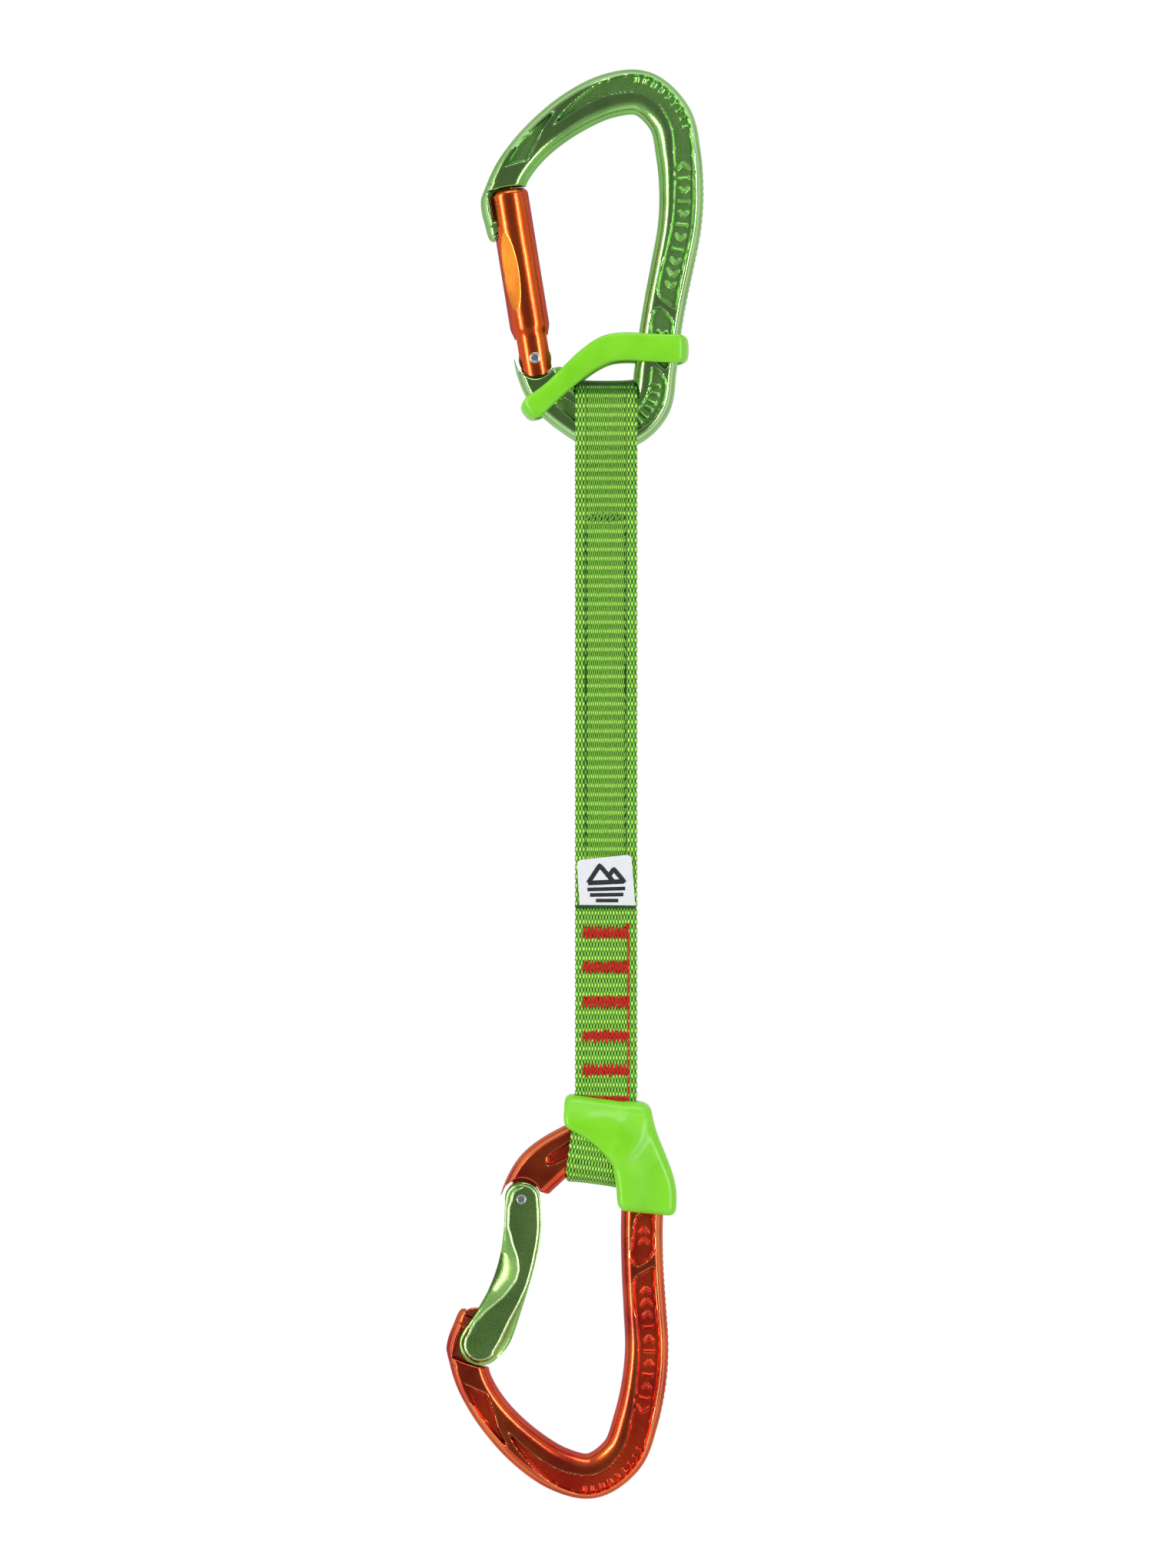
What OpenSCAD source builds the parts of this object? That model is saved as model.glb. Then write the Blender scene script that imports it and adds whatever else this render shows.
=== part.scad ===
// Climbing quickdraw: two key-lock carabiners joined by a sewn webbing sling.
// It hangs in the XZ plane. The origin is the seat of the upper basket, where a bolt hanger bears.
// +X points from the gates to the spines, +Z is up, and the front face looks toward -Y.

/* [Carabiner] */
// Thickness of the forged body
body_t = 9.2; // [8.6:0.1:9.4]
// Depth of the recesses forged into both faces
pocket_depth = 1.5; // [0.5:0.1:2]
// Thickness of the tang that the gate straddles
tang_t = 3.5; // [3:0.1:3.8]
// Radius of the tang round the rivet
tang_r = 5.3; // [5.2:0.05:5.4]
// Thickness of the neck of the nose key
key_neck_t = 3; // [2.4:0.1:3.2]
// Thickness of the bulb of the nose key
key_bulb_t = 5.2; // [4.4:0.1:5.4]

/* [Gates] */
// Diameter of the straight gate
gate_d = 10.3; // [9.8:0.1:10.4]
// Diameter of the straight gate's foot
foot_d = 8.8; // [8.4:0.1:9]
// Length of a gate above its pivot
gate_len = 44.4; // [43:0.1:44.4]
// Thickness of the bent gate
bent_t = 9.4; // [8.8:0.1:9.8]
// Width of the slot that takes the tang
slot_t = 3.9; // [3.9:0.1:4.2]
// Radius of the rivet's shank
rivet_r = 1.3; // [1.1:0.05:1.4]
// Radius of the plunger
plunger_r = 1.4; // [1.2:0.05:1.42]
// How far the plunger sits from the gate's axis, toward the spine
plunger_x = 2.2; // [2:0.1:2.4]

/* [Sling] */
// Width of the webbing
web_w = 16; // [14:0.5:16]
// Thickness of one layer of webbing
web_t = 2.2; // [1.8:0.1:2.3]
// Height that stitching stands above the webbing
thread_t = 0.3; // [0.2:0.05:0.4]
// Thickness of the woven label
label_t = 0.4; // [0.3:0.05:0.5]
// Length of a bartack across the webbing
tack_w = 12; // [9:0.5:13]
// Distance from one red bartack to the next
tack_pitch = 8.9; // [8.5:0.1:8.9]

/* [Elastomer] */
// Wall of the retainer band over the faces of the body
band_t = 1.6; // [1.2:0.1:1.8]
// Wall of the keeper over the webbing
keeper_t = 1.7; // [1.4:0.1:2]

/* [Hidden] */
$fn = 64;

green = "#2f8a24";
orange = "#d8641c";
elastomer = "#57c52c";
steel = "#c9ccd0";

// Place of the lower carabiner: turned end for end and leaning a little
lower_at = [-12.4, 0, -348.4];
lower_lean = 7.8;

// Gate pivot, in the carabiner's own frame, and lean of the gates
pivot = [-25.2, 0, -63.6];
gate_lean = 9.2;

// Middle line of the body from the nose round to the tang: [x, z, width]
body_line = [
    [-34.2, -23.2, 10.2], [-31, -14.9, 9.2], [-24.6, -6.9, 9.5], [-15.6, 0.2, 10.6],
    [-6, 4.8, 11.3], [3, 5.3, 11.5], [9.9, -1.2, 11.5], [12.1, -10.4, 11.5], [12.9, -20, 11.4],
    [12.4, -29.5, 11.2], [10.6, -39.2, 11], [8.7, -48.8, 10.8], [7.1, -58.5, 10.7],
    [6.1, -66.8, 10.8], [4.6, -75.3, 11], [-1, -80.9, 11], [-8.7, -81.4, 11.2],
    [-15.6, -77.4, 11.6], [-21.2, -71.9, 12.2], [-24.4, -66.2, 11.2]];

// Middle line of the bent gate from its foot to its nose end: [x, z, width]
bent_line = [
    [-24.9, -63.6, 9], [-23.8, -55, 9.6], [-24.2, -46, 9.3], [-25.8, -37.4, 9.8],
    [-28.4, -28.6, 11.6], [-30.5, -25, 11.3]];

bent_tip = [-30.5, 0, -25];
bent_tip_r = 5.65;

// Clearances: round the key and the tang, and between a gate's end and the body
key_gap = 0.35;
end_gap = 0.4;
foot_r = 4.75;
key_r0 = 33.1;
key_r1 = 37;

// Base bar, in the carabiner's own frame, and the webbing round it
bar_x = -6.7;
bar_z = -81.8;
web_x0 = bar_x - web_w / 2;
fold_z = -69.4;
loop_half = body_t / 2 + 0.4;
strap_top = -103;
flex_z = -148;
strap_end = -256.4;

// A point on a smooth line through a list, s counted in list steps
function at(l, s) = let (n = len(l) - 1, i = min(floor(s), n - 1), t = s - i,
    a = l[max(i - 1, 0)], b = l[i], c = l[i + 1], d = l[min(i + 2, n)])
    0.5 * (2 * b + (c - a) * t + (2 * a - 5 * b + 4 * c - d) * t * t
    + (3 * b - a - 3 * c + d) * t * t * t);
// Unit vector to the left of the line's direction of travel
function side(l, s) = let (n = len(l) - 1, e = 0.05,
    v = at(l, min(s + e, n)) - at(l, max(s - e, 0)), m = norm([v[0], v[1]]))
    [-v[1], v[0]] / m;
// Edge of the line, u from -1 at the right side to 1 at the left, moved in by an inset
function edge(l, s, u, inset) = let (p = at(l, s)) [p[0], p[1]] + side(l, s) * (u * p[2] / 2 - inset);
// Strip of the line from s0 to s1 between two edges
function strip(l, s0, s1, u0, u1, in0, in1, steps = 4) = let (n = ceil((s1 - s0) * steps)) concat(
    [for (i = [0:n]) edge(l, s0 + (s1 - s0) * i / n, u1, in1)],
    [for (i = [n:-1:0]) edge(l, s0 + (s1 - s0) * i / n, u0, in0)]);

// Upright plate from an outline in X and Z, centred on Y
module plate(points, t) {
    rotate([90, 0, 0]) linear_extrude(t, center = true) polygon(points);
}

// Round bar along Y, centred on Y
module y_rod(r, t) {
    rotate([90, 0, 0]) cylinder(r = r, h = t, center = true);
}

module lower_place() {
    translate(lower_at) rotate([0, lower_lean, 0]) rotate([180, 0, 0]) children();
}

module gate_place() {
    translate(pivot) rotate([0, -gate_lean, 0]) children();
}

// Whole outline of the body, moved in by an inset
function body_outline(inset) = strip(body_line, 0, len(body_line) - 1, -1, 1, -inset, inset);

// Nose lug, before its round ends are cut about the pivot
nose_outline = [[-33.5, -16], [-39, -19], [-39.6, -22.5], [-39.5, -25.2], [-38.7, -28], [-37.8, -30.4],
    [-36.4, -32.4], [-34.5, -34], [-31.6, -34], [-31.6, -24], [-31, -16]];
// Horn outside the gate's end, thicker than the key behind it
nose_horn = [[-34.5, -15.5], [-39, -19], [-39.6, -22.5], [-39.5, -25.2], [-38.7, -28], [-37.8, -30.4],
    [-36.8, -31.6], [-36.4, -31], [-36.9, -27], [-37.6, -22], [-36.2, -18.6]];
horn_t = 6.6;

// Recess forged into a face, between two places along the body
module recess(s0, s1, rim_in, rim_out) {
    for (y = [-1, 1]) translate([0, y * body_t / 2, 0])
        plate(strip(body_line, s0, s1, -1, 1, -rim_in, rim_out), 2 * pocket_depth);
}

module carabiner_body() {
    difference() {
        union() {
            plate(body_outline(0), body_t - 3.8);
            plate(body_outline(0.8), body_t - 1.6);
            plate(body_outline(1.8), body_t);
        }
        recess(1.1, 2.6, 2.6, 2.2);
        recess(2.9, 11.2, 4, 2.2);
        recess(11.6, 12.6, 3, 2.4);
        recess(13.4, 16.6, 4.2, 2.4);
        // End of the nose arm, struck about the pivot
        intersection() {
            translate(pivot) y_rod(gate_len + end_gap + 0.4, 20);
            translate([-45, -10, -40]) cube([20, 20, 30]);
        }
        // Room for the round foot of the gate, and for its inner side when open
        translate(pivot) y_rod(foot_r + end_gap, 20);
        intersection() {
            translate(pivot) y_rod(foot_r + end_gap + 0.9, 20);
            translate([-22, -10, -65.2]) cube([6, 20, 6]);
        }
    }
    plate(nose_horn, horn_t);
    // Key on the nose
    difference() {
        plate(nose_outline, key_neck_t);
        translate(pivot) y_rod(key_r0, 20);
    }
    intersection() {
        plate(nose_outline, key_bulb_t);
        difference() {
            translate(pivot) y_rod(key_r1, 20);
            translate(pivot) y_rod(key_r0, 30);
        }
    }
    // Tang, with its ledge for the plunger and its hole for the rivet
    difference() {
        gate_place() difference() {
            y_rod(tang_r, tang_t);
            translate([0.3, -3, 3]) cube([8, 6, 8]);
        }
        translate(pivot) y_rod(rivet_r + 0.05, 20);
    }
}

// Everything cut from a gate: tang slot, key slot, rivet hole and plunger hole
module gate_cuts() {
    translate([-10, -slot_t / 2, -8]) cube([20, slot_t, 8 + tang_r + 0.45]);
    y_rod(rivet_r, 30);
    translate([plunger_x, 0, 4]) cylinder(r = plunger_r + 0.05, h = 19);
    intersection() {
        translate([-15.7, -6, 25]) cube([17.4, 12, 30]);
        union() {
            difference() {
                y_rod(60, key_neck_t + 2 * key_gap);
                y_rod(key_r0 - key_gap, 30);
            }
            difference() {
                y_rod(key_r1 + key_gap, key_bulb_t + 2 * key_gap);
                y_rod(key_r0 - key_gap, 30);
            }
        }
    }
}

module straight_gate() {
    gate_place() difference() {
        intersection() {
            rotate_extrude() polygon(concat(
                [[0, -foot_r], [foot_d / 2, -foot_r], [foot_d / 2, 5.6], [gate_d / 2, 9]],
                [for (a = [0:15:90]) [gate_d / 2 - 1 + cos(a), gate_len - 1 + sin(a)]],
                [[0, gate_len]]));
            union() {
                y_rod(foot_r, 20);
                translate([-10, -10, 0]) cube([20, 20, 60]);
            }
        }
        gate_cuts();
        // Long shallow facets toward the front and the back, left of the middle
        for (y = [-1, 1]) rotate([0, 0, y * 57]) translate([-gate_d / 2 - 89.42, 0, 23])
            y_rod(90, 20);
    }
}

module bent_gate() {
    n = len(bent_line) - 1;
    difference() {
        union() {
            for (c = [[0, bent_t - 3.2], [0.7, bent_t - 1.2], [1.5, bent_t]]) {
                plate(strip(bent_line, 0, n, -1, 1, -c[0], c[0]), c[1]);
                translate(bent_tip) y_rod(bent_tip_r - c[0], c[1]);
                translate(pivot) y_rod(foot_r - c[0], c[1]);
            }
        }
        gate_place() gate_cuts();
        // Shallow flat recess in both faces
        for (y = [-1, 1]) translate([0, y * bent_t / 2, 0])
            plate(strip(bent_line, 0.7, 4.8, -1, 1, -2.4, 2.4), 0.8);
    }
}

// Hollow rivet with a rolled head at each end
module rivet() {
    half = foot_d / 2;
    translate(pivot) rotate([90, 0, 0]) rotate_extrude() polygon([
        [0.75, -half - 0.3], [1.3, -half - 0.3], [1.5, -half - 0.1], [1.5, -half + 0.02], [rivet_r, -half + 0.02],
        [rivet_r, half - 0.02], [1.5, half - 0.02], [1.5, half + 0.1], [1.3, half + 0.3], [0.75, half + 0.3]]);
}

// Plunger with a round tip that bears on the tang's ledge
module plunger() {
    gate_place() translate([plunger_x, 0, 3.08 + plunger_r]) {
        sphere(r = plunger_r);
        cylinder(r = plunger_r, h = 5);
    }
}

// Envelope of the coil spring between the plunger and the end of its hole
module gate_spring() {
    gate_place() translate([plunger_x, 0, 3.14 + plunger_r + 5]) difference() {
        cylinder(r = plunger_r - 0.05, h = 13.3);
        translate([0, 0, -1]) cylinder(r = plunger_r - 0.5, h = 16);
    }
}

// Half of the loop's outline in Y and Z, from the neck up to the fold, at a distance out from its inside
function loop_half_line(neck_z, out) = concat(
    [[0.01 + out, neck_z], [loop_half * 0.45 + out, neck_z + (bar_z - 3 - neck_z) * 0.55],
     [loop_half + out, bar_z - 3]],
    [for (a = [0:15:75]) [(loop_half + out) * cos(a) , -76 + (fold_z + 76 - web_t + out) * sin(a)]]);

// Webbing loop round the base bar: front and back layers, and the crossing trimmed to the window
module webbing_loop(neck_z) {
    outer = loop_half_line(neck_z, web_t);
    inner = loop_half_line(neck_z, 0);
    difference() {
        translate([web_x0, 0, 0]) rotate([90, 0, 90]) linear_extrude(web_w) difference() {
            polygon(concat(outer, [[0, fold_z]], [for (i = [len(outer) - 1:-1:0]) [-outer[i][0], outer[i][1]]]));
            polygon(concat([[0, neck_z + 0.6]], inner, [[0, fold_z - web_t]],
                [for (i = [len(inner) - 1:-1:0]) [-inner[i][0], inner[i][1]]]));
        }
        plate(body_outline(-0.3), body_t + 0.6);
    }
}

// Double layer of webbing between two heights
module strap(z0, z1) {
    translate([web_x0, -web_t, z0]) cube([web_w, 2 * web_t, z1 - z0]);
}

// Line of thread on both faces of the strap
module thread_line(x, w, z0, z1) {
    for (y = [-web_t - thread_t, web_t])
        translate([x - w / 2, y, z0]) cube([w, thread_t, z1 - z0]);
}

module seam(x, z0, z1) {
    color("#1f5c1c") thread_line(x, 0.8, z0, z1);
}

module tacks(y) {
    for (i = [0:4]) translate([bar_x - tack_w / 2, y, -213 - i * tack_pitch - 1.7])
        cube([tack_w, thread_t, 3.4]);
    translate([bar_x + tack_w / 2 - 0.4, y, -213 - 4 * tack_pitch]) cube([0.4, thread_t, 4 * tack_pitch]);
}

module upper_body() {
    color(green) carabiner_body();
}

module upper_gate() {
    color(orange) straight_gate();
}

module upper_gate_rivet() {
    color(steel) rivet();
}

module upper_gate_plunger() {
    color(steel) plunger();
}

module upper_gate_spring() {
    color(steel) gate_spring();
}

// Band round the spine and the base corner, with a strap over each face
module upper_retainer() {
    band = [[14.8, -57.6], [14.8, -64.8], [13.8, -65.4], [0, -64.4], [-7, -64.8], [-12.4, -67],
        [-17.6, -71.6], [-22.8, -77], [-25, -78.6], [-27.6, -77.6], [-28.4, -75.4],
        [-27.4, -73.8], [-23.6, -70.4], [-16.6, -65.2], [-10.6, -59.4], [-4.4, -57],
        [13.8, -57]];
    color(elastomer) difference() {
        plate(band, body_t + 2 * band_t + 0.2);
        plate(body_outline(-0.1), body_t + 0.2);
        translate([-19, -body_t / 2 - 0.1, -75]) cube([22, body_t + 0.2, 25]);
    }
}

module webbing_top_loop() {
    color(green) webbing_loop(strap_top + 0.3);
}

module webbing_strap_upper() {
    color(green) {
        strap(flex_z, strap_top);
        translate([web_x0, 0, flex_z]) rotate([0, 90, 0]) cylinder(r = web_t, h = web_w);
    }
}

module webbing_strap_lower() {
    color(green) difference() {
        strap(strap_end, flex_z);
        translate([web_x0 - 1, 0, flex_z]) rotate([0, 90, 0]) cylinder(r = 3.3, h = web_w + 2);
    }
}

module webbing_bottom_loop() {
    color(green) lower_place() webbing_loop(-90.2);
}

module green_bartack() {
    color("#3aa52c") translate([bar_x, 0, 0]) thread_line(0, 9.8, -106, -104.2);
}

module side_seam_left_upper() {
    seam(web_x0 + 2.7, flex_z + 3.6, -107);
}

module side_seam_left_lower() {
    seam(web_x0 + 2.7, -192, flex_z - 3.6);
}

module side_seam_right_upper() {
    seam(web_x0 + web_w - 3, flex_z + 3.6, -107);
}

module side_seam_right_lower() {
    seam(web_x0 + web_w - 3, -192, flex_z - 3.6);
}

module label() {
    color("white") translate([web_x0, -web_t - label_t, -205.6])
        cube([web_w, label_t, 13]);
}

module label_stitch() {
    color("#1d4a1a") translate([web_x0, -web_t - label_t, -206.4]) cube([web_w, label_t, 0.7]);
}

module red_bartacks_front() {
    color("#b3262e") tacks(-web_t - thread_t);
}

module red_bartacks_back() {
    color("#b3262e") tacks(web_t);
}

// Collar over the webbing, running on into a sleeve round the spine
module lower_keeper() {
    collar = [[-17.5, -90], [-16.4, -92], [3, -92], [4.6, -90.4], [4, -83], [0, -75.6], [-4.6, -77.4],
        [-8.6, -80.4], [-12.6, -82.4], [-16.6, -83.6]];
    sleeve = [[3, -91.8], [4.6, -90.4], [7.6, -84.8], [10.8, -79.4], [13.3, -74.7], [14.6, -70.8],
        [15, -67], [13.9, -65], [0.6, -64.4], [-0.6, -66.6], [-1.4, -71], [-2.9, -74.9], [-4.6, -77.4],
        [-4, -83]];
    side_t = 2 * (loop_half + web_t + 0.1 + keeper_t);
    room = loop_half_line(-90.2, web_t + 0.1);
    color(elastomer) lower_place() difference() {
        union() {
            plate(collar, side_t);
            plate(sleeve, body_t + 4.4);
        }
        plate(body_outline(-0.1), body_t + 0.2);
        // Room for the loop, and for the strap above it
        translate([web_x0 - 0.5, 0, 0]) rotate([90, 0, 90]) linear_extrude(web_w + 1)
            polygon(concat(room, [[0, fold_z + 1]],
                [for (i = [len(room) - 1:-1:0]) [-room[i][0], room[i][1]]]));
        translate([web_x0 - 0.5, -web_t - thread_t - 0.1, -100])
            cube([web_w + 1, 2 * (web_t + thread_t + 0.1), 12]);
    }
}

module lower_body() {
    color(orange) lower_place() carabiner_body();
}

module lower_gate() {
    color(green) lower_place() bent_gate();
}

module lower_gate_rivet() {
    color(steel) lower_place() rivet();
}

module lower_gate_plunger() {
    color(steel) lower_place() plunger();
}

module lower_gate_spring() {
    color(steel) lower_place() gate_spring();
}

upper_body();
upper_gate();
upper_gate_rivet();
upper_gate_plunger();
upper_gate_spring();
upper_retainer();
webbing_top_loop();
webbing_strap_upper();
webbing_strap_lower();
webbing_bottom_loop();
green_bartack();
side_seam_left_upper();
side_seam_left_lower();
side_seam_right_upper();
side_seam_right_lower();
label();
label_stitch();
red_bartacks_front();
red_bartacks_back();
lower_keeper();
lower_body();
lower_gate();
lower_gate_rivet();
lower_gate_plunger();
lower_gate_spring();
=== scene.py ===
"""Looks of the climbing quickdraw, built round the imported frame.

Lengths in this file are in millimetres until a mesh is made. The carabiner has its own frame,
with its origin at the seat of the basket; the lower one is turned end for end and leans a little.
"""
import math

import bmesh
import bpy
import numpy as np
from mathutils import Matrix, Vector


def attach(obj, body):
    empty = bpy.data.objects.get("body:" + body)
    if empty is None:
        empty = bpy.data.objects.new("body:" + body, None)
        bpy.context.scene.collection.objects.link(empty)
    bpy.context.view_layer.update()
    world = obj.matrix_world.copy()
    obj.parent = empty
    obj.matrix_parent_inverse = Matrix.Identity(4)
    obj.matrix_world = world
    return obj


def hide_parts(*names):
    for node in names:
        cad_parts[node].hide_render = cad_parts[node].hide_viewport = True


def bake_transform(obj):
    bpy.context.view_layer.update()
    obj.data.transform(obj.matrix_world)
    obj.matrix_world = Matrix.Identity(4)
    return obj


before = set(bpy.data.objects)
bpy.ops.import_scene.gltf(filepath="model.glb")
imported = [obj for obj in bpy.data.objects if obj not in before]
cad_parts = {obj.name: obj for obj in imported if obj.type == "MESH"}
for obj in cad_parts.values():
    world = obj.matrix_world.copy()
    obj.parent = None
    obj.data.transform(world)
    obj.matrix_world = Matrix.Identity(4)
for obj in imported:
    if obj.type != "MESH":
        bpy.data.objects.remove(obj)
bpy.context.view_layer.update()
MM = 0.001
rng = np.random.default_rng(7)

# ---------------------------------------------------------------- dimensions of the frame
BODY_T = 9.2
PIVOT = np.array([-25.2, -63.6])
GATE_LEAN = math.radians(-9.2)
GATE_LEN, GATE_D, FOOT_D, FOOT_R = 44.4, 10.3, 8.8, 4.75
BENT_T = 9.4
LOWER_AT = np.array([-12.4, 0, -348.4])
LOWER_LEAN = math.radians(7.8)
BAR_X, BAR_Z, WEB_T, FOLD_Z = -6.7, -81.8, 2.2, -69.4
FLEX_Z = -148.0
ROW = 1.18            # height of one row of yarn floats; two rows make a rib

# Middle line of the body from the nose round to the tang: x, z, width
BODY_LINE = [
    [-34.2, -23.2, 10.2], [-31, -14.9, 9.2], [-24.6, -6.9, 9.5], [-15.6, 0.2, 10.6],
    [-6, 4.8, 11.3], [3, 5.3, 11.5], [9.9, -1.2, 11.5], [12.1, -10.4, 11.5], [12.9, -20, 11.4],
    [12.4, -29.5, 11.2], [10.6, -39.2, 11], [8.7, -48.8, 10.8], [7.1, -58.5, 10.7],
    [6.1, -66.8, 10.8], [4.6, -75.3, 11], [-1, -80.9, 11], [-8.7, -81.4, 11.2],
    [-15.6, -77.4, 11.6], [-21.2, -71.9, 12.2], [-24.4, -66.2, 11.2]]
# Middle line of the bent gate from its foot to its nose end
BENT_LINE = [
    [-24.9, -63.6, 9], [-23.8, -55, 9.6], [-24.2, -46, 9.3], [-25.8, -37.4, 9.8],
    [-28.4, -28.6, 11.6], [-30.5, -25, 11.3]]
KEY_R0, KEY_R1 = 33.15, 37.0        # radii about the pivot between which the key's bulb lies
TANG_HALF, KEY_NECK_HALF, KEY_BULB_HALF = 1.75, 1.5, 2.6
SPRING_X, SPRING_FOOT, SPRING_HEAD = 2.2, 9.7, 22.6
NOSE_OUTLINE = [[-33.5, -16], [-36.6, -19], [-38.3, -22.5], [-38.2, -25.4], [-37.5, -28.4], [-37, -30.4],
                [-36, -32.2], [-34.5, -33.4], [-31.6, -33.6], [-31.6, -24], [-31, -16]]
NOSE_LIP = [[-39.25, -22.6], [-39.05, -25.6], [-38.15, -29.1], [-37.6, -31.3], [-37, -32.6], [-36.3, -33.1],
            [-35.75, -32.95]]


# ---------------------------------------------------------------- small tools
def smooth(t):
    t = np.clip(t, 0, 1)
    return t * t * (3 - 2 * t)


def curve(a, b, c, d, t):
    """Point between b and c on the smooth curve through four points."""
    return 0.5 * (2 * b + (c - a) * t + (2 * a - 5 * b + 4 * c - d) * t * t
                  + (3 * b - a - 3 * c + d) * t ** 3)


def circle(n):
    return np.linspace(0, 2 * math.pi, n, endpoint=False)


def blur(values, width):
    """Values averaged with their neighbours by a smooth window."""
    window = np.hanning(width) / np.hanning(width).sum()
    return np.convolve(np.pad(values, width // 2, mode="edge"), window, "valid")


def line_at(line, s):
    """Point and width on the smooth line, s counted in list steps."""
    line = np.asarray(line, float)
    s = np.asarray(s, float)
    n = len(line) - 1
    i = np.clip(np.floor(s).astype(int), 0, n - 1)
    t = (s - i)[..., None]
    return curve(line[np.maximum(i - 1, 0)], line[i], line[i + 1], line[np.minimum(i + 2, n)], t)


def line_side(line, s):
    """Unit vector to the left of the line's direction of travel."""
    n = len(line) - 1
    v = (line_at(line, np.minimum(s + 0.05, n)) - line_at(line, np.maximum(s - 0.05, 0)))[..., :2]
    v = v / np.linalg.norm(v, axis=-1, keepdims=True)
    return np.stack([-v[..., 1], v[..., 0]], -1)


def upper_place(p):
    return p


def lower_place(p):
    x, y, z = p[:, 0], -p[:, 1], -p[:, 2]
    c, s = math.cos(LOWER_LEAN), math.sin(LOWER_LEAN)
    return np.stack([x * c + z * s, y, -x * s + z * c], 1) + LOWER_AT


def gate_place(p):
    x, y, z = p[:, 0], p[:, 1], p[:, 2]
    c, s = math.cos(GATE_LEAN), math.sin(GATE_LEAN)
    return np.stack([x * c + z * s + PIVOT[0], y, -x * s + z * c + PIVOT[1]], 1)


def make_mesh(name, verts, faces, attrs=None, sharp=35, merge=0.0):
    """Object from points in mm and a list of faces, smooth but for edges sharper than an angle."""
    mesh = bpy.data.meshes.new(name)
    mesh.from_pydata((np.asarray(verts, float) * MM).tolist(), [], [list(map(int, f)) for f in faces])
    for key, value in (attrs or {}).items():
        value = np.asarray(value, np.float32)
        kind = "FLOAT" if value.ndim == 1 else "FLOAT_VECTOR"
        a = mesh.attributes.new(key, kind, "POINT")
        a.data.foreach_set("value" if kind == "FLOAT" else "vector", value.ravel())
    bm = bmesh.new()
    bm.from_mesh(mesh)
    if merge:
        bmesh.ops.remove_doubles(bm, verts=bm.verts, dist=merge * MM)
        bmesh.ops.dissolve_degenerate(bm, dist=merge * MM / 4, edges=bm.edges)
    bmesh.ops.recalc_face_normals(bm, faces=bm.faces)
    bm.to_mesh(mesh)
    bm.free()
    mesh.polygons.foreach_set("use_smooth", np.ones(len(mesh.polygons), bool))
    mesh.set_sharp_from_angle(angle=math.radians(sharp))
    mesh.update()
    obj = bpy.data.objects.new(name, mesh)
    bpy.context.scene.collection.objects.link(obj)
    return obj


def finish_piece(obj, material, slot, body=None, nodes=()):
    obj.data.materials.clear()
    obj.data.materials.append(material)
    if body:
        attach(obj, body)
    if nodes:
        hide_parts(*nodes)
    return obj


def grid_faces(rows, cols, wrap_rows=False, wrap_cols=False, start=0):
    """Quads of a grid of points numbered row by row."""
    i = np.arange(rows if wrap_rows else rows - 1)
    j = np.arange(cols if wrap_cols else cols - 1)
    i, j = np.meshgrid(i, j, indexing="ij")
    i2, j2 = (i + 1) % rows, (j + 1) % cols
    return (np.stack([i * cols + j, i * cols + j2, i2 * cols + j2, i2 * cols + j], -1)
            .reshape(-1, 4) + start).tolist()


def swept_faces(rings, sides):
    """Faces of a closed sweep with a flat cap at each end."""
    ends = [list(range(sides))[::-1], list(range((rings - 1) * sides, rings * sides))]
    return grid_faces(rings, sides, wrap_cols=True) + ends


def about_pivot(v):
    """Lathed points turned so that their axis is the gate's pivot."""
    return np.stack([v[:, 0] + PIVOT[0], v[:, 2], v[:, 1] + PIVOT[1]], 1)


def mirrored(front):
    """Rows of points on the front face, put on the back face in reverse order."""
    return (front * [1, -1, 1])[:, ::-1]


class Shell:
    """Several closed shells gathered into one mesh."""

    def __init__(self):
        self.verts, self.faces, self.attrs, self.count = [], [], {}, 0

    def add(self, verts, faces, **attrs):
        verts = np.asarray(verts, float)
        for key in set(self.attrs) | set(attrs):
            old = self.attrs.setdefault(key, [np.zeros(self.count)] if self.count else [])
            old.append(np.broadcast_to(attrs.get(key, 0.0), len(verts)).astype(float))
        self.verts.append(verts)
        self.faces += [[v + self.count for v in f] for f in faces]
        self.count += len(verts)

    def make(self, name, place=upper_place, sharp=35):
        verts = place(np.concatenate(self.verts))
        return make_mesh(name, verts, self.faces,
                         {k: np.concatenate(v) for k, v in self.attrs.items()}, sharp)


def outward(outline):
    p = np.asarray(outline, float)
    area = np.sum(p[:, 0] * np.roll(p[:, 1], -1) - np.roll(p[:, 0], -1) * p[:, 1])
    return p if area > 0 else p[::-1]


def rounded_outline(outline, per, keep):
    """Closed curve through the points of an outline; keep draws it toward the straight sides."""
    p = outward(outline)
    n = len(p)
    out = []
    for i in range(n):
        a, b, c, d = p[i - 1], p[i], p[(i + 1) % n], p[(i + 2) % n]
        for t in np.arange(per) / per:
            out.append(curve(a, b, c, d, t) * (1 - keep) + (b + (c - b) * t) * keep)
    return np.array(out)


def filleted(outline, cut=2.5, per=5):
    """Outline with every corner rounded over at most the cut length."""
    p = outward(outline)
    out = []
    for a, b, c in zip(np.roll(p, 1, 0), p, np.roll(p, -1, 0)):
        before, after = a - b, c - b
        start = b + before * min(cut / np.linalg.norm(before), 0.48)
        end = b + after * min(cut / np.linalg.norm(after), 0.48)
        for t in np.linspace(0, 1, per):
            out.append((1 - t) ** 2 * start + 2 * t * (1 - t) * b + t * t * end)
    return np.array(out)


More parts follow.
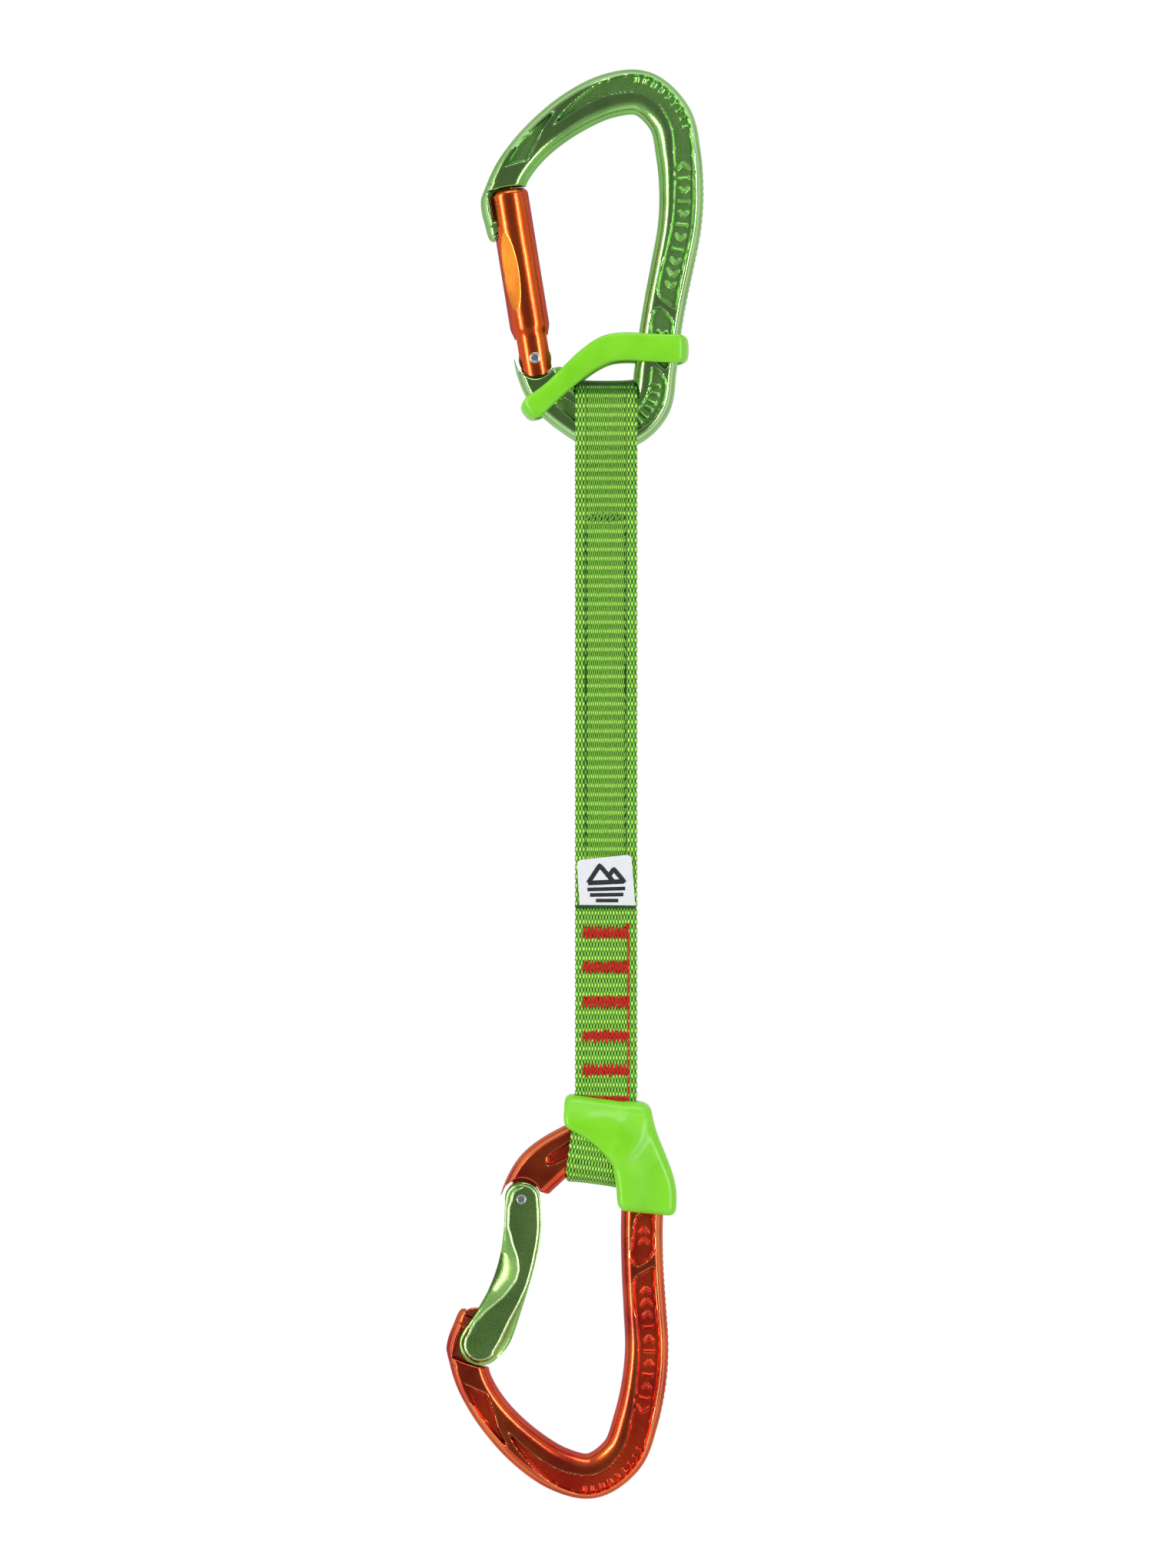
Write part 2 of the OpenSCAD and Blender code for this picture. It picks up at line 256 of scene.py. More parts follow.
def inset(p, d):
    """Closed outline moved in by d, by its points' own normals."""
    t = np.roll(p, -1, 0) - np.roll(p, 1, 0)
    t = t / np.maximum(np.linalg.norm(t, axis=1, keepdims=True), 1e-9)
    return p + np.stack([-t[:, 1], t[:, 0]], 1) * d


def prism(outline, half, bevel, steps=4):
    """Plate in X and Z with rounded edges: points and faces."""
    p = outward(outline)
    n = len(p)
    rings = []
    for side in (-1, 1):
        angles = np.linspace(0, math.pi / 2, steps + 1)
        angles = angles[::-1] if side < 0 else angles
        for a in angles:
            q = inset(p, bevel * (1 - math.cos(a)))
            rings.append(np.stack([q[:, 0], np.full(n, side * (half - bevel + bevel * math.sin(a))),
                                   q[:, 1]], 1))
    return np.concatenate(rings), swept_faces(len(rings), n)


def lathe(profile, segments):
    """Closed lathe about Z from a profile of radius and height that starts and ends on the axis."""
    profile = np.asarray(profile, float)
    inner = profile[1:-1]
    a = circle(segments)
    rings = [np.stack([r * np.cos(a), r * np.sin(a), np.full(segments, z)], 1) for r, z in inner]
    n = len(rings)
    verts = np.concatenate(rings + [[[0, 0, profile[0][1]]], [[0, 0, profile[-1][1]]]])
    low, high = n * segments, n * segments + 1
    faces = grid_faces(n, segments, wrap_cols=True)
    for j in range(segments):
        k = (j + 1) % segments
        faces += [[low, k, j], [high, (n - 1) * segments + j, (n - 1) * segments + k]]
    return verts, faces


def ring_lathe(profile, segments):
    """Lathe of a closed profile that doesn't touch the axis."""
    profile = np.asarray(profile, float)
    a = circle(segments)
    verts = np.concatenate([np.stack([r * np.cos(a), r * np.sin(a), np.full(segments, z)], 1)
                            for r, z in profile])
    return verts, grid_faces(len(profile), segments, True, True)


def tube(path, radius, sides=8, flat=1.0, up=(0, -1, 0)):
    """Closed round tube along a path of points, with shut ends. radius may differ from point to point."""
    path = np.asarray(path, float)
    n = len(path)
    radius = np.broadcast_to(radius, n)
    t = np.gradient(path, axis=0)
    t /= np.maximum(np.linalg.norm(t, axis=1, keepdims=True), 1e-9)
    up = np.broadcast_to(np.asarray(up, float), path.shape)
    b = np.cross(t, up)
    b /= np.maximum(np.linalg.norm(b, axis=1, keepdims=True), 1e-9)
    w = np.cross(b, t)
    a = circle(sides)
    verts = (path[:, None] + radius[:, None, None] * (np.cos(a)[None, :, None] * b[:, None]
             + flat * np.sin(a)[None, :, None] * w[:, None])).reshape(-1, 3)
    return verts, swept_faces(n, sides)


def boolean(obj, cutters):
    """Cuts closed tool meshes out of an object."""
    for k, (verts, faces) in enumerate(cutters):
        tool = make_mesh(f"tool_{k}", verts, faces)
        m = obj.modifiers.new("cut", "BOOLEAN")
        m.operation, m.solver, m.object = "DIFFERENCE", "EXACT", tool
        dg = bpy.context.evaluated_depsgraph_get()
        cut = bpy.data.meshes.new_from_object(obj.evaluated_get(dg))
        obj.modifiers.clear()
        obj.data = cut
        bpy.data.objects.remove(tool)
    cut = obj.data
    cut.polygons.foreach_set("use_smooth", np.ones(len(cut.polygons), bool))
    cut.set_sharp_from_angle(angle=math.radians(30))
    return obj


def box_tool(lo, hi):
    (x0, y0, z0), (x1, y1, z1) = lo, hi
    verts = [[x, y, z] for x in (x0, x1) for y in (y0, y1) for z in (z0, z1)]
    return np.array(verts, float), [[0, 1, 3, 2], [4, 6, 7, 5], [0, 4, 5, 1], [2, 3, 7, 6],
                                    [0, 2, 6, 4], [1, 5, 7, 3]]


def surface_net(field, lo, hi, step, polish=3):
    """Mesh of the surface where a field of distances is zero. field takes points and gives values."""
    lo = np.asarray(lo, float)
    n = np.ceil((np.asarray(hi, float) - lo) / step).astype(int) + 1
    axes = [lo[k] + step * np.arange(n[k]) for k in range(3)]
    points = np.stack(np.meshgrid(*axes, indexing="ij"), -1)
    value = field(points.reshape(-1, 3)).reshape(n)
    total, count = np.zeros((*(n - 1), 3)), np.zeros(n - 1)

    def part(c):
        return value[c[0]:n[0] - 1 + c[0], c[1]:n[1] - 1 + c[1], c[2]:n[2] - 1 + c[2]]

    for corner in np.ndindex(2, 2, 2):
        for ax in range(3):
            if corner[ax]:
                continue
            other = list(corner)
            other[ax] = 1
            va, vb = part(corner), part(other)
            crossing = (va < 0) != (vb < 0)
            t = np.where(crossing, va / np.where(crossing, va - vb, 1), 0)
            pos = np.broadcast_to(np.array(corner, float), (*va.shape, 3)).copy()
            pos[..., ax] += t
            total += pos * crossing[..., None]
            count += crossing
    used = count > 0
    index = np.full(used.shape, -1)
    index[used] = np.arange(used.sum())
    cells = np.argwhere(used)
    verts = lo + step * (cells + total[used] / count[used][:, None])
    faces = []
    for ax in range(3):
        b, c = (ax + 1) % 3, (ax + 2) % 3
        v = np.moveaxis(value, (ax, b, c), (0, 1, 2))
        ids = np.moveaxis(index, (ax, b, c), (0, 1, 2))
        va, vb = v[:-1, 1:-1, 1:-1], v[1:, 1:-1, 1:-1]
        q = np.stack([ids[:, :-1, :-1], ids[:, 1:, :-1], ids[:, 1:, 1:], ids[:, :-1, 1:]], -1)
        out = (va < 0) & (vb >= 0)
        back = (va >= 0) & (vb < 0)
        faces += q[out].tolist() + q[back][:, ::-1].tolist()
    for _ in range(polish):
        e = step * 0.2
        g = np.stack([field(verts + d) - field(verts - d) for d in np.eye(3) * e], -1) / (2 * e)
        f = field(verts)
        move = f[:, None] * g / np.maximum((g ** 2).sum(1, keepdims=True), 0.05)
        verts = verts - np.clip(move, -step * 0.5, step * 0.5)
    return verts, faces


def polygon_distance(poly, p):
    """Signed distance of points to a closed polygon, negative inside."""
    poly = np.asarray(poly, float)
    a, b = poly, np.roll(poly, -1, 0)
    best = np.full(len(p), 1e9)
    inside = np.zeros(len(p), bool)
    for (ax, ay), (bx, by) in zip(a, b):
        ex, ey = bx - ax, by - ay
        wx, wy = p[:, 0] - ax, p[:, 1] - ay
        t = np.clip((wx * ex + wy * ey) / max(ex * ex + ey * ey, 1e-12), 0, 1)
        best = np.minimum(best, (wx - ex * t) ** 2 + (wy - ey * t) ** 2)
        if ay != by:
            hit = ((ay > p[:, 1]) != (by > p[:, 1])) & (p[:, 0] < ex * (p[:, 1] - ay) / ey + ax)
            inside ^= hit
    return np.where(inside, -1, 1) * np.sqrt(best)


# ---------------------------------------------------------------- materials
def srgb(r, g, b):
    """Linear colour from an ordinary 0 to 255 screen colour."""
    def linear(c):
        return c / 12.92 if c <= 0.04045 else ((c + 0.055) / 1.055) ** 2.4

    return [linear(c / 255) for c in (r, g, b)] + [1]


class Nodes:
    """A material's node tree with short calls for what repeats."""

    def __init__(self, name, **constants):
        self.material = bpy.data.materials.new(name)
        self.material.use_nodes = True
        self.tree = self.material.node_tree
        self.tree.nodes.clear()
        out = self.tree.nodes.new("ShaderNodeOutputMaterial")
        self.shader = self.tree.nodes.new("ShaderNodeBsdfPrincipled")
        self.tree.links.new(self.shader.outputs[0], out.inputs[0])
        for key, value in constants.items():
            self.shader.inputs[key.replace("_", " ")].default_value = value

    def put(self, socket, value):
        if isinstance(value, bpy.types.NodeSocket):
            self.tree.links.new(value, socket)
        else:
            socket.default_value = value

    def node(self, kind, **inputs):
        n = self.tree.nodes.new(kind)
        for key, value in inputs.items():
            self.put(n.inputs[key.replace("_", " ")], value)
        return n

    def math(self, op, *args):
        n = self.tree.nodes.new("ShaderNodeMath")
        n.operation = op
        for socket, value in zip(n.inputs, args):
            self.put(socket, value)
        return n.outputs[0]

    def add(self, *args):
        return self.math("ADD", *args)

    def sub(self, *args):
        return self.math("SUBTRACT", *args)

    def mul(self, *args):
        return self.math("MULTIPLY", *args)

    def attribute(self, name, part="Fac"):
        n = self.tree.nodes.new("ShaderNodeAttribute")
        n.attribute_name = name
        return n.outputs[part]

    def place(self):
        return self.tree.nodes.new("ShaderNodeTexCoord").outputs["Object"]

    def noise(self, scale, detail=2.0, rough=0.5):
        n = self.node("ShaderNodeTexNoise", Scale=scale, Detail=detail, Roughness=rough)
        self.put(n.inputs["Vector"], self.place())
        return n.outputs["Fac"]

    def ramp(self, fac, *stops):
        n = self.tree.nodes.new("ShaderNodeValToRGB")
        while len(n.color_ramp.elements) < len(stops):
            n.color_ramp.elements.new(0.5)
        for e, (at, colour) in zip(n.color_ramp.elements, stops):
            e.position, e.color = at, colour
        self.put(n.inputs[0], fac)
        return n.outputs[0]

    def mix(self, fac, a, b):
        n = self.tree.nodes.new("ShaderNodeMix")
        n.data_type = "RGBA"
        for socket, value in zip((n.inputs[0], n.inputs[6], n.inputs[7]), (fac, a, b)):
            self.put(socket, value)
        return n.outputs[2]

    def span(self, fac, lo, hi, lo2=0.0, hi2=1.0):
        n = self.node("ShaderNodeMapRange", Value=fac, From_Min=lo, From_Max=hi, To_Min=lo2, To_Max=hi2)
        return n.outputs[0]

    def bump(self, height, distance, strength=1.0):
        n = self.node("ShaderNodeBump", Height=height, Distance=distance, Strength=strength)
        return n.outputs[0]

    def done(self, **sockets):
        for key, value in sockets.items():
            self.put(self.shader.inputs[key.replace("_", " ")], value)
        return self.material


def anodised(name, base, deep, pale, rough, grain, edge):
    """Coloured anodised aluminium: fine blasted grain with pale specks painted in as glints, rougher pocket
    floors darkened as painted shade, and edges, bevels and facets painted paler as highlight.
    """
    n = Nodes(name, Metallic=1.0, IOR=1.5, Coat_Weight=0.45, Coat_Roughness=0.09, Coat_IOR=1.6,
              Specular_Tint=edge)
    cloud = n.noise(90.0, 3.0)
    fine = n.noise(2600.0, 3.0, 0.6)
    grit = n.noise(7000.0, 2.0, 0.6)
    colour = n.mix(n.span(cloud, 0.3, 0.7), deep, base)
    # Painted shade: pocket floors and the parts that sit in the gate's slots are mixed toward the deep
    # colour.
    colour = n.mix(n.mul(n.attribute("recess"), 0.5), colour, deep)
    # Painted highlight: pale lines along edges, bevels, crests and facets.
    colour = n.mix(n.mul(n.attribute("worn"), 0.75), colour, pale)
    # Painted glints: pale specks from the fine grit noise.
    colour = n.mix(n.span(grit, 0.62, 0.8, 0.0, 0.5), colour, pale)
    roughness = n.add(n.span(fine, 0.3, 0.7, rough - 0.05, rough + 0.07),
                       n.mul(n.attribute("recess"), 0.16))
    height = n.add(n.mul(fine, grain), n.mul(grit, grain * 0.6))
    height = n.add(height, n.mul(n.noise(70.0, 1.0), 14.0))
    return n.done(Base_Color=colour, Roughness=roughness, Normal=n.bump(height, 0.00004))


def elastomer(name, base, deep):
    """Glossy moulded elastomer with a faint flow and fine pitting."""
    n = Nodes(name, Specular_IOR_Level=0.5, Subsurface_Weight=0.12, Subsurface_Scale=0.002, Coat_Weight=0.15,
              Coat_Roughness=0.2)
    flow = n.noise(140.0, 3.0)
    pits = n.noise(5200.0, 2.0)
    colour = n.mix(n.span(flow, 0.3, 0.75), deep, base)
    return n.done(Base_Color=colour, Roughness=n.span(flow, 0.3, 0.7, 0.27, 0.38),
                  Normal=n.bump(n.add(pits, n.mul(flow, 1.5)), 0.00003, 0.6))


def steel(name):
    """Bright steel with fine turning marks."""
    n = Nodes(name, Metallic=1.0)
    marks = n.noise(4200.0, 3.0, 0.7)
    cloud = n.noise(500.0, 2.0)
    colour = n.mix(cloud, srgb(150, 152, 158), srgb(222, 224, 228))
    return n.done(Base_Color=colour, Roughness=n.span(marks, 0.3, 0.7, 0.2, 0.34),
                  Normal=n.bump(marks, 0.00003))


def webbing(name):
    """Tubular nylon: rows of short yarn floats, alternate rows half a yarn over, coarser at the edges; floats
    and ribs are painted lit and shaded, with painted shade at the fold and along the seams.
    """
    n = Nodes(name, Specular_IOR_Level=0.3, Sheen_Weight=0.06, Sheen_Roughness=0.5)
    at = n.tree.nodes.new("ShaderNodeSeparateXYZ")
    n.put(at.inputs[0], n.attribute("weave", "Vector"))
    x, s, edge = at.outputs
    r = n.math("DIVIDE", s, ROW)
    row = n.math("FLOOR", r)
    t = n.sub(r, row)
    pitch = n.add(0.5, n.mul(edge, 0.4))
    wobble = n.mul(n.sub(n.noise(900.0, 1.0), 0.5), 0.22)
    column = n.add(n.math("DIVIDE", x, pitch), wobble)
    floats = []
    for k in (0, 1):
        this_row = n.add(row, float(k))
        odd = n.mul(n.math("FLOORED_MODULO", this_row, 2.0), 0.5)
        c = n.sub(n.math("FRACT", n.add(column, odd)), 0.5)
        dx = n.mul(c, 2.0)
        ds = n.math("DIVIDE", n.math("ABSOLUTE", n.sub(t, float(k))), 0.8)
        floats.append(n.sub(n.sub(1.0, n.mul(dx, dx)),
                             n.math("POWER", ds, 2.4)))
    yarn = n.math("MAXIMUM", *floats)
    strand = n.noise(2400.0, 2.0)
    fuzz = n.noise(9000.0, 2.0)
    # Every second row is the one that stands out, so rows pair into ribs, painted lighter and darker in turn
    # as painted highlight and shade.
    swell = n.mul(n.math("COSINE", n.mul(r, math.pi)),
                  n.span(edge, 0.3, 0.7, 1.15, 0.8))
    # lit is painted light: each float is painted bright in its middle and dark toward the gaps between
    # floats, as painted highlight and shade.
    lit = n.add(n.mul(yarn, 0.85), n.mul(swell, 0.13))
    lit = n.add(lit, n.mul(n.sub(strand, 0.5), 0.35))
    # Painted shade from the mesh darkens the fold and the seam dents.
    painted_shade = n.attribute("painted_shade")
    lit = n.sub(lit, painted_shade)
    colour = n.ramp(lit, (0.1, srgb(6, 46, 0)), (0.3, srgb(34, 104, 2)), (0.54, srgb(96, 168, 30)),
                    (0.88, srgb(184, 232, 100)))
    height = n.add(n.math("MAXIMUM", yarn, 0.0), n.mul(fuzz, 0.15))
    return n.done(Base_Color=colour, Roughness=n.span(strand, 0.3, 0.7, 0.5, 0.68),
                  Normal=n.bump(height, 0.0002, 1.0))


def thread(name, dark, light, rough=0.5):
    """Sewing thread, with its ply."""
    n = Nodes(name, Specular_IOR_Level=0.3)
    ply = n.noise(3800.0, 2.0, 0.6)
    return n.done(Base_Color=n.mix(n.span(ply, 0.35, 0.65), dark, light),
                  Roughness=n.span(ply, 0.3, 0.7, rough - 0.08, rough + 0.1), Normal=n.bump(ply, 0.00006))


def label_cloth(name):
    """White satin label with a fine diagonal twill."""
    n = Nodes(name, Specular_IOR_Level=0.45, Sheen_Weight=0.2)
    at = n.tree.nodes.new("ShaderNodeSeparateXYZ")
    n.put(at.inputs[0], n.place())
    x, _, z = at.outputs
    along = n.add(n.mul(x, 2 * math.pi / 0.00042), n.mul(z, 2 * math.pi / 0.00055))
    twill = n.math("SINE", along)
    cloud = n.noise(300.0, 2.0)
    fine = n.noise(6500.0, 2.0)
    lit = n.add(n.span(twill, -1.0, 1.0, 0.25, 0.75), n.mul(n.sub(fine, 0.5), 0.5))
    colour = n.mix(lit, srgb(196, 200, 204), srgb(238, 241, 244))
    colour = n.mix(n.span(cloud, 0.4, 0.7, 0.0, 0.35), colour, srgb(212, 216, 222))
    return n.done(Base_Color=colour, Roughness=n.span(fine, 0.3, 0.7, 0.42, 0.6), Normal=n.bump(lit, 0.00005))


# The third colour of each metal is the pale colour in which its highlights and glints are painted.
GREEN_METAL = anodised("anodised_green", srgb(150, 208, 114), srgb(128, 182, 96),
                       srgb(234, 252, 218), 0.17, 0.4, srgb(150, 205, 120))
ORANGE_METAL = anodised("anodised_orange", srgb(234, 92, 30), srgb(184, 30, 12),
                        srgb(255, 180, 112), 0.17, 0.4, srgb(190, 60, 30))
ORANGE_SATIN = anodised("anodised_orange_satin", srgb(238, 98, 22), srgb(218, 74, 12),
                        srgb(255, 204, 66), 0.19, 0.5, srgb(110, 6, 2))
GREEN_SPARKLE = anodised("anodised_green_sparkle", srgb(156, 202, 110), srgb(112, 166, 74),
                         srgb(230, 250, 204), 0.22, 0.9, srgb(170, 215, 140))
STEEL = steel("rivet_steel")
SPRING = steel("spring_steel")
RUBBER = elastomer("elastomer_green", srgb(128, 214, 32), srgb(118, 202, 26))
WEBBING = webbing("webbing_green")
GREEN_THREAD = thread("thread_green", srgb(28, 92, 10), srgb(140, 204, 84))
DARK_THREAD = thread("thread_dark_green", srgb(14, 48, 12), srgb(40, 92, 30), 0.6)
RED_THREAD = thread("thread_red", srgb(146, 2, 1), srgb(222, 30, 8))
LABEL = label_cloth("label_white")
MARK_THREAD = thread("label_mark", srgb(16, 18, 22), srgb(48, 50, 56), 0.55)


# ---------------------------------------------------------------- carabiner bodies
# The rim's stepped edge: distance in from the outer side, and half thickness there
RIM_D = np.array([0, .06, .12, .3, .5, .7, .85, .93, 1.02, 1.12, 1.25, 1.42, 1.62, 1.9, 2.2, 2.5])
RIM_Y = np.interp(RIM_D, [0, .12, .85, 1.05, 1.25, 1.6, 2.1, 2.5],
                  [1.9, 2.45, 3.3, 3.72, 4.12, 4.44, 4.57, 4.6])
# Outlines of the forged pockets: place along the middle line, in its list steps, and u across it
POCKETS = [
    [(0.98, 2.6), (1.3, 2.95), (1.8, 2.95), (2.3, 2.95), (2.6, 3.15), (2.7, 2.75), (2.58, 2.1),
     (2.3, 1.2), (1.94, -0.6), (1.6, -1.6), (1.42, -1.65), (1.2, 0.2), (1.0, 1.9)],
    [(2.5, -0.1), (2.57, 0.4), (2.9, 1.5), (3.3, 2.4), (3.7, 3.2), (4.1, 3.9), (4.8, 4.4), (5.5, 4.4),
     (6.3, 4.35), (6.9, 4.1), (7.7, 3.5), (8.6, 3.4), (9.5, 3.2), (10.5, 3.05), (11.0, 3.1),
     (11.17, 2.9), (11.1, 1.2), (10.98, -1.2), (10.85, -2.4), (10.6, -2.7), (10.2, -2.7), (9.5, -2.5),
     (8.9, -2.25), (8, -2.1), (7.1, -1.45), (6.6, -1.0), (6.0, -0.9), (5.5, -0.35), (5, -0.5),
     (4.5, -0.5), (4, -0.15), (3.3, -0.1), (2.9, -0.15)],
    [(11.47, -3.1), (11.26, -2.5), (11.19, -1.1), (11.3, 1.0), (11.5, 3.1), (11.8, 3.3), (12.3, 3.2),
     (12.87, 3.0), (12.92, 2.0), (12.75, 0), (12.6, -1.5), (12.3, -2.2), (11.9, -2.5)],
    [(12.94, -1.1), (12.95, 0.5), (13.1, 2.2), (13.33, 3.4), (13.77, 3.5), (14.25, 3.1), (14.8, 2.5),
     (15.6, 2.3), (16.4, 2.0), (17.04, 1.6), (17.56, 1.45), (17.74, -0.3), (17.4, -1.4), (16.6, -1.9),
     (15.6, -2.0), (14.6, -1.9), (14.0, -1.7), (13.4, -1.15)]]
POCKET_FLOOR, WALL_RUN = 3.0, 0.5


def relief_marks(arc):
    """Generic raised chevrons and dashes on the pocket floors: two ends (arc, u) and a width."""
    marks = []

    def chevron(s, u, size, flip=1):
        a = arc(s)
        marks.append(((a - size * 0.45 * flip, u - size), (a + size * 0.45 * flip, u), 0.36))
        marks.append(((a + size * 0.45 * flip, u), (a - size * 0.45 * flip, u + size), 0.36))

    for k, s in enumerate(np.arange(7.35, 10.55, 0.32)):
        u = 0.62 - 0.02 * k
        if k in (0, 9):
            chevron(s, u, 1.5, 1 if k else -1)
        elif k % 2:
            marks.append(((arc(s), u - 1.25), (arc(s), u + 1.25), 0.36))
        else:
            chevron(s, u, 1.1)
    for s in np.arange(4.75, 6.5, 0.2):
        marks.append(((arc(s), 2.5), (arc(s), 3.5), 0.3))
    for s in (11.85, 12.15):
        chevron(s, 0.4, 1.1)
    for s in np.arange(13.45, 15.0, 0.24):
        marks.append(((arc(s), -0.3), (arc(s), 1.3), 0.36))
    return marks


def bisect(f, lo, hi):
    """Where a rising vector function crosses zero, kept within its ends."""
    lo, hi = np.array(lo, float), np.array(hi, float)
    rising = f(lo) < 0
    for _ in range(40):
        mid = (lo + hi) / 2
        below = f(mid) < 0
        lo, hi = np.where(below, mid, lo), np.where(below, hi, mid)
    return np.where(rising, (lo + hi) / 2, lo)


def body_shell():
    """The forged body: a swept section with a stepped rim, a round inner side and floored pockets."""
    line = BODY_LINE + [[-25.9, -59.5, 10.4]]
    last = len(line) - 1
    table_s = np.linspace(0, last, 2400)
    centre = line_at(line, table_s)[:, :2]
    table_arc = np.concatenate([[0], np.cumsum(np.linalg.norm(np.diff(centre, axis=0), axis=1))])

    def arc(s):
        return np.interp(s, table_s, table_arc)

    def inner_round(s):
        bump = np.exp(-((s - 5.6) / 1.9) ** 2) * 1.5 + np.exp(-((s - 15.4) / 1.4) ** 2) * 0.9
        return 3.0 + bump

    quarter = np.linspace(0, math.pi / 2, 12)
    middle = 34

    def us(s):
        """Places across the section from its inner side to its outer side, and half thickness."""
        half = line_at(line, s)[..., 2:] / 2
        r = inner_round(s)[..., None]
        d_in = r * (1 - np.cos(quarter))
        y_in = 0.7 + 3.9 * np.sin(quarter) + 0 * d_in
        t = np.linspace(0, 1, middle + 2)[1:-1]
        lo, hi = -half + r, half - RIM_D[-1]
        mid = lo + (hi - lo) * t
        outer = (half - RIM_D)[..., ::-1]
        y_out = np.broadcast_to(RIM_Y[::-1], outer.shape)
        return (np.concatenate([-half + d_in, mid, outer], -1),
                np.concatenate([y_in, np.full(mid.shape, BODY_T / 2), y_out], -1))

    def radius(s, column):
        u = np.take_along_axis(us(s)[0], column[:, None], 1)[:, 0]
        p = line_at(line, s)[:, :2] + line_side(line, s) * u[:, None]
        return np.linalg.norm(p - PIVOT, axis=1)

    cols = us(np.zeros(1))[0].shape[1]
    column = np.arange(cols)
    start = bisect(lambda s: radius(s, column) - (GATE_LEN + 0.4), np.zeros(cols), np.full(cols, 1.6))
    ear = 19.05 + 0.42 * np.linspace(-1, 1, cols)
    end = bisect(lambda s: 5.2 - radius(s, column), np.full(cols, 17.4), ear)
    rings = 640
    s_mid = np.interp(np.linspace(arc(start.mean()), arc(end.mean()), rings), table_arc, table_s)
    near = np.clip(1 - (s_mid - s_mid[0]) / 2.2, 0, 1) ** 1.5
    far = np.clip(1 - (s_mid[-1] - s_mid) / 2.2, 0, 1) ** 1.5
    s = (s_mid[:, None] + near[:, None] * (start - start.mean()) + far[:, None] * (end - end.mean()))
    s = np.clip(s, 0, last)
    u, y = np.empty_like(s), np.empty_like(s)
    for j in range(cols):
        uj, yj = us(s[:, j])
        u[:, j], y[:, j] = uj[:, j], yj[:, j]
    a = arc(s)
    flat = np.stack([a.ravel(), u.ravel()], 1)
    mask, edge = np.zeros(len(flat)), np.full(len(flat), 9.0)
    for pocket in POCKETS:
        outline = rounded_outline(np.array([(arc(ps), pu) for ps, pu in pocket]), 4, 0.45)
        d = polygon_distance(outline, flat)
        # Points near the pocket's wall are drawn on to its two edges, so the edges run clean
        near_wall = np.where(np.abs(d + WALL_RUN / 2) < WALL_RUN)[0]
        p = flat[near_wall]
        g = np.stack([polygon_distance(outline, p + [0.02, 0]) - d[near_wall],
                      polygon_distance(outline, p + [0, 0.02]) - d[near_wall]], 1)
        g /= np.maximum(np.linalg.norm(g, axis=1, keepdims=True), 1e-9)
        for target in (0.0, -WALL_RUN):
            off = d[near_wall] - target
            move = off * np.exp(-(off / 0.14) ** 2)
            flat[near_wall] -= move[:, None] * g
            d[near_wall] -= move
        mask = np.maximum(mask, np.clip(-d / WALL_RUN, 0, 1))
        edge = np.minimum(edge, np.abs(d))
    a, u = flat[:, 0].reshape(s.shape), flat[:, 1].reshape(s.shape)
    s = np.interp(a, table_arc, table_s)
    raised = np.zeros(len(flat))
    for (a0, u0), (a1, u1), width in relief_marks(arc):
        near_mark = np.abs(flat[:, 0] - (a0 + a1) / 2) < 3
        p, e = flat[near_mark], np.array([a1 - a0, u1 - u0])
        t = np.clip(((p - [a0, u0]) @ e) / (e @ e), 0, 1)
        d = np.linalg.norm(p - [a0, u0] - t[:, None] * e, axis=1)
        raised[near_mark] = np.maximum(raised[near_mark], smooth(1.35 - d / width))
    mask, edge, raised = (v.reshape(s.shape) for v in (mask, edge, raised))
    floor = np.minimum(y, POCKET_FLOOR + 0.55 * raised)
    top = y * (1 - mask) + floor * mask
    # Small rounding at both ends of the sweep
    from_end = np.minimum((s - s[0]) * 9.0, (s[-1] - s) * 6.0)
    top = top - 0.7 * (1 - np.sqrt(1 - np.clip(1 - from_end / 0.7, 0, 1) ** 2))
    # Grip serration along the back of the spine
    grip = smooth((s - 7.0) / 0.8) * smooth((12.0 - s) / 0.8)
    rim_weight = smooth((u - (line_at(line, s)[..., 2] / 2 - 1.1)) / 0.8)
    u = u - 0.16 * grip * rim_weight * (0.5 + 0.5 * np.cos(2 * math.pi * a / 1.62))
    p = line_at(line, s)[..., :2] + line_side(line, s) * u[..., None]
    from_rim = line_at(line, s)[..., 2] / 2 - u
    # Painted highlight: thin pale lines along the pocket edges, along the rim's bevel and at its outer edge.
    worn = 0.9 * np.exp(-(edge / 0.3) ** 2) + np.exp(-((from_rim - 1.1) / 0.22) ** 2)
    worn += 0.7 * np.exp(-((from_rim - 0.1) / 0.16) ** 2)
    front = np.stack([p[..., 0], -top, p[..., 1]], -1)
    wall = np.array([0.75, 0.4, 0, -0.4, -0.75])

    def side_wall(col, crown):
        y0 = top[:, col]
        pts = front[:, col][:, None] * [1, 0, 1] + np.stack(
            [0 * wall, -1 + 0 * wall, 0 * wall], -1)[None] * (y0[:, None] * wall)[..., None]
        direction = line_side(line, s[:, col]) * (1 if col else -1)
        out = crown * (1 - wall ** 2)
        pts[..., 0] += direction[:, :1] * out
        pts[..., 2] += direction[:, 1:] * out
        return pts

    ring = np.concatenate([front, side_wall(cols - 1, 0.12), mirrored(front),
                           side_wall(0, 0.1)[:, ::-1]], 1)
    n = ring.shape[1]

    def spread(v, walls=0.0):
        w = np.full((rings, len(wall)), walls)
        return np.concatenate([v, w, v[:, ::-1], w], 1).ravel()

